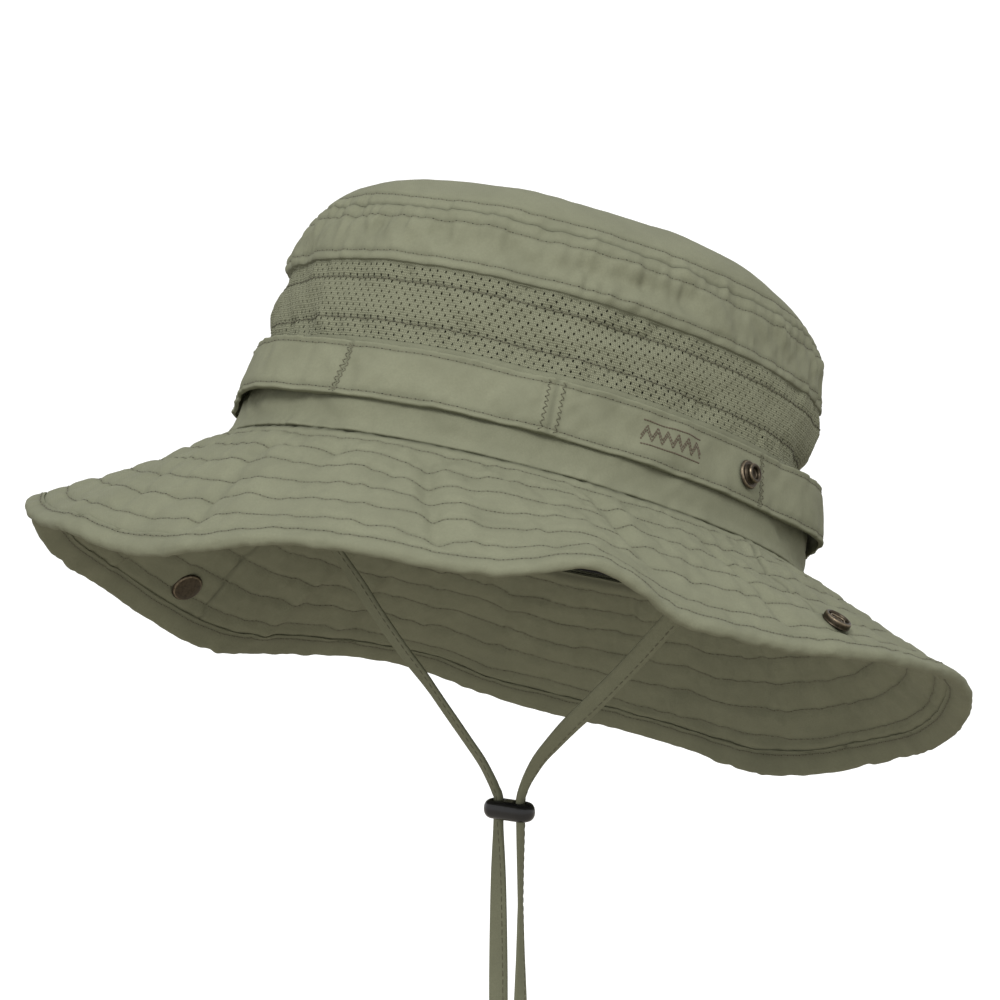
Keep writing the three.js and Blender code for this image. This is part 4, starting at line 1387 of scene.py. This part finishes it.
def zigzag(surface, centre, wide, low, high, teeth, upright=True):
    """A zigzag line of thread on a surface: up at an angle, or round between a pair of angles."""
    count = teeth * 2 + 1
    swing = np.where(np.arange(count) % 2 == 0, -wide / 2, wide / 2)
    if upright:
        phi, run = np.radians(centre + swing), np.linspace(low, high, count)
    else:
        phi, run = arc(centre[0], centre[1], count), (low + high) / 2 + swing
    fine = np.linspace(0, count - 1, (count - 1) * 6 + 1)
    phi = np.interp(fine, np.arange(count), phi)
    run = np.interp(fine, np.arange(count), run)
    return seat_line(surface, phi, run)


def make_strap():
    """The foliage strap, its edge rows, its tacks and its motif."""
    low, high = run_at(STRAP_BOTTOM), run_at(STRAP_TOP)
    phi, run = np.meshgrid(ring_angles(900), edged(low, high, 0.9), indexing="ij")
    # Painted shade along the strap's edge rows and at its tacks
    crease = np.maximum(bell((run - low - STRAP_ROW) / 0.7), bell((high - STRAP_ROW - run) / 0.7))
    for tack in STRAP_TACKS:
        crease = np.maximum(crease, bell(degrees_from(phi, tack) / 0.5))
    outside, inside = strap_face(phi, run), strap_face(phi, run, 0.0)
    grain = band_grain(phi, run)
    piece = cloth_shell("foliage_strap_cloth", outside, inside, STRAP_CLOTH, True, grain, crease)
    settle(piece, "strap_fabric", "root", "foliage_strap")
    full = arc(BACK, BACK + 360, 1800)
    rows = [seat_line(strap_face, full, level) for level in (low + STRAP_ROW, high - STRAP_ROW)]
    sew_on("strap_edge_stitching", rows, "strap_fabric")
    tacked = []
    for tack in STRAP_TACKS:
        offsets = (-1.4, 1.4) if tack == STRAP_LAP else (-0.4, 0.4)
        for offset in offsets:
            tacked.append(zigzag(strap_face, tack + offset, 0.75, low + 0.8, high - 0.8, 8))
    sew_on("strap_tacks", tacked, "strap_fabric", 1.35, 0.9, 0.19, (0.26, 0.2, 0.16))
    make_motif((low + high) / 2 + 0.4)


# The motif: its first and last angle, its height, and how far its zigzags and rows are off its middle
MOTIF_ARC = (-27.5, -14.5)
MOTIF_TALL = 3.4
MOTIF_ZIGZAGS = (-0.5, 0.7)
MOTIF_ROWS = (-3.4, 3.6)


def make_motif(middle):
    """A plain stitched band of chevrons between two straight rows."""
    lines = []
    for level in (middle + offset for offset in MOTIF_ZIGZAGS):
        lines.append(zigzag(strap_face, MOTIF_ARC, MOTIF_TALL, level, level, 6, False))
    for level in (middle + offset for offset in MOTIF_ROWS):
        lines.append(seat_line(strap_face, arc(*MOTIF_ARC, 80), level))
    motif = sew("strap_motif", lines, MOTIF_THREAD, 0.9, 1.0, 0.24, None)
    settle(motif, "strap_fabric", "root")


# ---------------------------------------------------------------- brim

# Steps round half the brim: its plies, its stiffener and its binding
BRIM_ROUND = 440
CORE_ROUND = 220
BINDING_ROUND = 560
CORE_HALF = 0.22
PLY_INSIDE = 0.34


def fold(piece):
    """Bakes the placement of one half of the brim into its mesh."""
    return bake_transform(piece)


def replaced(layer, side):
    """The CAD nodes that one half of a brim layer stands for; the front and back go with the left half."""
    nodes = [f"{layer}_{side}_flap"]
    return nodes + ([f"{layer}_front", f"{layer}_back"] if side == "left" else [])


def make_ply(name, layer, face_side, side):
    """One half of the brim's top or under cloth, with painted shade along its rows and its side seam, and a
    painted shadow where it meets the crown.
    """
    alongs = edged(BRIM_START, CLOTH_EDGE, 0.85)
    phi, along = np.meshgrid(arc(*HALVES[side], BRIM_ROUND), alongs, indexing="ij")
    outside = brim_face(phi, along, face_side)
    inside = brim(phi, along, brim_middle(phi, along) + face_side * PLY_INSIDE)
    # Painted shade along the quilting rows and the side seam, strongest as a painted shadow line under the
    # crown's edge
    crease = bell(row_distance(phi, along) / 0.6)
    crease = np.maximum(crease, 1.4 * bell(side_seam_distance(phi, along) / 0.6))
    crease = np.maximum(crease, 2.0 * bell(along / 1.7))
    piece = cloth_shell(f"{name}_{side}", outside, inside, SHELL, False, outside[..., :2], crease)
    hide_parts(*replaced(layer, side))
    return fold(piece)


def make_core(side):
    """One half of the stiffener between the plies."""
    alongs = edged(1.5, CLOTH_EDGE - 0.4, 2.2)
    phi, along = np.meshgrid(arc(*HALVES[side], CORE_ROUND), alongs, indexing="ij")
    middle = brim_middle(phi, along)
    over, under = (brim(phi, along, middle + lift) for lift in (CORE_HALF, -CORE_HALF))
    grain = along[..., None] * np.ones(2)
    piece = cloth_shell(f"brim_core_{side}", over, under, CORE_CLOTH, False, grain)
    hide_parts(*replaced("brim_interlining", side))
    return fold(piece)


def make_binding(side):
    """One half of the edge tape, with painted shade along both its stitch rows."""
    places = np.arange(BINDING_LAST + 1, dtype=float)
    phi, place = np.meshgrid(arc(*HALVES[side], BINDING_ROUND), places, indexing="ij")
    outside = binding_face(phi, place)
    inside = binding_face(phi, place, 0.5)
    over, under = place - BINDING_STITCH, place - BINDING_LAST + BINDING_STITCH
    crease = np.maximum(bell(over / 2), bell(under / 2))
    grain = np.stack([phi * (MEAN_RADIUS + 60), place * 0.8], -1)
    piece = cloth_shell(f"brim_binding_{side}_half", outside, inside, SHELL, False, grain, crease)
    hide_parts(*replaced("brim_binding", side))
    return fold(piece)


def make_brim_threads(side):
    """The quilting rows and the tape's stitches on both faces of one half of the brim."""
    start, end = HALVES[side]
    phi = arc(start + 0.2, end - 0.2, 1400)
    top = ("top", 1, BINDING_STITCH, NEEDLE_PITS)
    under = ("under", -1, BINDING_LAST - BINDING_STITCH, SMALL_PITS)
    for name, face_side, edge_place, pits in (top, under):
        face = partial(brim_face, side=face_side)
        lines = [seat_line(face, phi, row + wander(phi, row), -face_side) for row in QUILT_ROWS]
        lines.append(seat_line(binding_face, phi, edge_place, -1))
        thread = sew(f"brim_{name}_stitching_{side}", lines, THREAD, pits=pits)
        fold(thread)


def make_brim():
    """Both halves of the brim, layer by layer."""
    for side in HALVES:
        make_ply("brim_top_cloth", "brim_top_ply", 1, side)
        make_ply("brim_under_cloth", "brim_under_ply", -1, side)
        make_core(side)
        make_binding(side)
        make_brim_threads(side)


# ---------------------------------------------------------------- snaps

def stud_seat(side, out):
    """The place and direction of a stud on the strap."""
    phi = np.array(snap_angle(side, STUD_TURN))
    run = run_at(STUD_HEIGHT)
    near = crown(phi, run, 0.0)
    direction = unit(crown(phi, run, 1.0) - near)
    return near + direction * out, direction


def brim_seat(side, lift, reach=4.0):
    """The place and direction of a snap on the brim, from the slope of the brim around it."""
    phi = np.array(snap_angle(side, SNAP_TURN))
    swing = reach / (HALF_LENGTH + SNAP_OUT)
    outward = brim(phi, SNAP_OUT + reach, 0.0) - brim(phi, SNAP_OUT - reach, 0.0)
    around = brim(phi + swing, SNAP_OUT, 0.0) - brim(phi - swing, SNAP_OUT, 0.0)
    direction = unit(np.cross(outward, around))
    return brim(phi, SNAP_OUT, 0.0) + direction * lift, direction


# Snap pieces as (radius, height) in mm, and where the wear has rubbed them bright
STUD = [
    (0, 0.0), (4.05, 0), (4.2, 0.45), (3.9, 0.85), (3.3, 0.8), (3.05, 1.0), (2.85, 1.7), (3.0, 2.3),
    (2.75, 2.8), (2.2, 2.85), (1.8, 2.4), (1.6, 1.6), (0, 1.5),
]
SOCKET = [
    (0, 0.0), (4.05, 0), (4.3, 0.5), (4.25, 1.5), (4.0, 2.0), (3.5, 2.1), (3.2, 1.7), (3.0, 1.0),
    (2.4, 0.85), (1.9, 1.15), (1.3, 1.2), (0.9, 0.8), (0, 0.7),
]
CAP = [
    (0, 0.0), (2.4, -0.05), (3.8, 0.12), (4.6, 0.42), (5.0, 0.85), (4.8, 1.12), (1.6, 1.15), (0, 1.15),
]
STUD_BRIGHT = ((4.1, 0.7), (2.9, 2.6))
SOCKET_BRIGHT = ((4.15, 1.9), (1.6, 1.2))
CAP_BRIGHT = ((4.6, 0.4),)
# The spring ring in mm: its mean radius, its lobes' swing, its height and half its wire
SPRING_RADIUS = 2.35
SPRING_LOBES = 0.28
SPRING_HEIGHT = 1.35
SPRING_WIRE = 0.26


def snap_piece(name, outline, seat, body, node, bright):
    """A stamped brass piece with soft corners, worn where bright says."""
    place, direction = seat
    profile = spline(outline, 4) * MM
    profile[:, 0] = np.maximum(profile[:, 0], 0)
    profile[0, 0] = profile[-1, 0] = 0
    radii = profile[:, 0] / MM
    wear = np.zeros(len(profile))
    for radius, height in bright:
        wear = np.maximum(wear, bell((radii - radius) / 0.22) * bell((profile[:, 1] / MM - height) / 0.35))
    tipped = to_row(direction) / MM
    piece = turned(name, [tuple(p) for p in profile], to_row(place), unit(tipped), BRASS, 48, wear)
    return settle(piece, "snap_brass", body, node)


def make_snaps():
    """Both snaps; the posts inside the crown keep their CAD shape and get the brass."""
    for side in ("left", "right"):
        flap = f"{side}_brim_flap"
        onto = stud_seat(side, STRAP_GAP + STRAP_THICK + 0.3)
        over = brim_seat(side, BRIM_HALF + SNAP_GAP)
        under = brim_seat(side, -BRIM_HALF - SNAP_GAP - 1.1)
        snap_piece(f"{side}_stud", STUD, onto, "root", f"{side}_band_snap_stud", STUD_BRIGHT)
        snap_piece(f"{side}_socket", SOCKET, over, flap, f"{side}_brim_snap_socket", SOCKET_BRIGHT)
        snap_piece(f"{side}_cap", CAP, under, flap, f"{side}_brim_snap_cap", CAP_BRIGHT)
        make_spring(side, over, flap)
        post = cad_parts[f"{side}_band_snap_post"]
        post.data.materials.clear()
        post.data.materials.append(BRASS)


def make_spring(side, seat, body):
    """The socket's four-lobed spring ring."""
    place, direction = seat
    turn = np.linspace(0, 2 * math.pi, 96, endpoint=False)
    radius = SPRING_RADIUS + SPRING_LOBES * np.cos(4 * turn)
    ring = np.stack([radius * np.cos(turn), radius * np.sin(turn), np.full_like(turn, SPRING_HEIGHT)], -1)
    ahead = unit(np.roll(ring, -1, 0) - np.roll(ring, 1, 0))
    up = np.tile([0, 0, 1.0], (len(ring), 1))
    around = np.linspace(0, 2 * math.pi, 10, endpoint=False)
    section = np.stack([np.cos(around), np.sin(around)], -1) * SPRING_WIRE
    points, faces = closed_tube(ring, unit(np.cross(ahead, up)), up, section)
    points = to_row(points @ upright_to(direction).T + place)
    piece = build(f"{side}_socket_spring", points, faces, BRASS, wear=np.ones(len(points)))
    return settle(piece, "snap_brass", body)


# ---------------------------------------------------------------- studio

FLOOR_Z = -0.30
FLOOR_REACH = 60


def stage_floor():
    """A pale floor that glows a little, so that it goes white."""
    graph = Graph("pale_floor")
    speckle = graph.ramp(graph.noise(30, 3), 0.3, 0.7)
    tint = graph.mix(speckle, (0.86, 0.86, 0.855), (0.9, 0.9, 0.895))
    material = graph.finish(tint, 0.9, Emission_Color=(1, 1, 1, 1), Emission_Strength=0.35)
    mesh = bpy.data.meshes.new("floor")
    corners = [(x * FLOOR_REACH, y * FLOOR_REACH, FLOOR_Z) for x, y in ((-1, -1), (1, -1), (1, 1), (-1, 1))]
    mesh.from_pydata(corners, [], [(0, 1, 2, 3)])
    mesh.materials.append(material)
    floor = linked("floor", mesh)
    floor.visible_diffuse = False
    floor.visible_glossy = False


def soft_light(name, azimuth, elevation, distance, size, power):
    """A round white lamp that looks at the origin, with its angles in degrees."""
    back = towards(math.radians(azimuth), math.radians(elevation))
    data = bpy.data.lights.new(name, "AREA")
    data.shape = "DISK"
    data.size = size
    data.energy = power
    light = linked(name, data)
    light.location = back * distance
    light.rotation_mode = "QUATERNION"
    light.rotation_quaternion = back.to_track_quat("Z", "Y")


# The sky: where its light starts to fade below the horizon, its strengths and its colour below
HORIZON = (-0.25, -0.02)
SKY_STRENGTHS = (0.62, 0.9)
BELOW_COLOUR = (1.0, 0.93, 0.82, 1)


def studio_sky():
    """Even white light from above, dimmer and warmer from below the horizon."""
    world = bpy.data.worlds.new("studio")
    world.use_nodes = True
    bpy.context.scene.world = world
    tree = world.node_tree
    background = tree.nodes["Background"]
    place = tree.nodes.new("ShaderNodeTexCoord")
    split = tree.nodes.new("ShaderNodeSeparateXYZ")
    tree.links.new(place.outputs["Generated"], split.inputs[0])
    tint = tree.nodes.new("ShaderNodeMix")
    tint.data_type = "RGBA"
    tint.inputs[6].default_value = BELOW_COLOUR
    tint.inputs[7].default_value = (1, 1, 1, 1)
    tree.links.new(tint.outputs[2], background.inputs["Color"])
    for fed, ends in ((background.inputs["Strength"], SKY_STRENGTHS), (tint.inputs[0], (0, 1))):
        climb = tree.nodes.new("ShaderNodeMapRange")
        for number, value in enumerate((*HORIZON, *ends), 1):
            climb.inputs[number].default_value = value
        tree.links.new(split.outputs[2], climb.inputs[0])
        tree.links.new(climb.outputs[0], fed)


def light_studio():
    """Floor, sky and one soft lamp, with colours shown as they are."""
    stage_floor()
    studio_sky()
    soft_light("key", 32, 42, 1.8, 0.7, 19.5)
    bpy.context.scene.view_settings.view_transform = "Standard"


place_camera()
make_cords()
make_crown()
make_inside()
make_strap()
make_brim()
make_snaps()
light_studio()
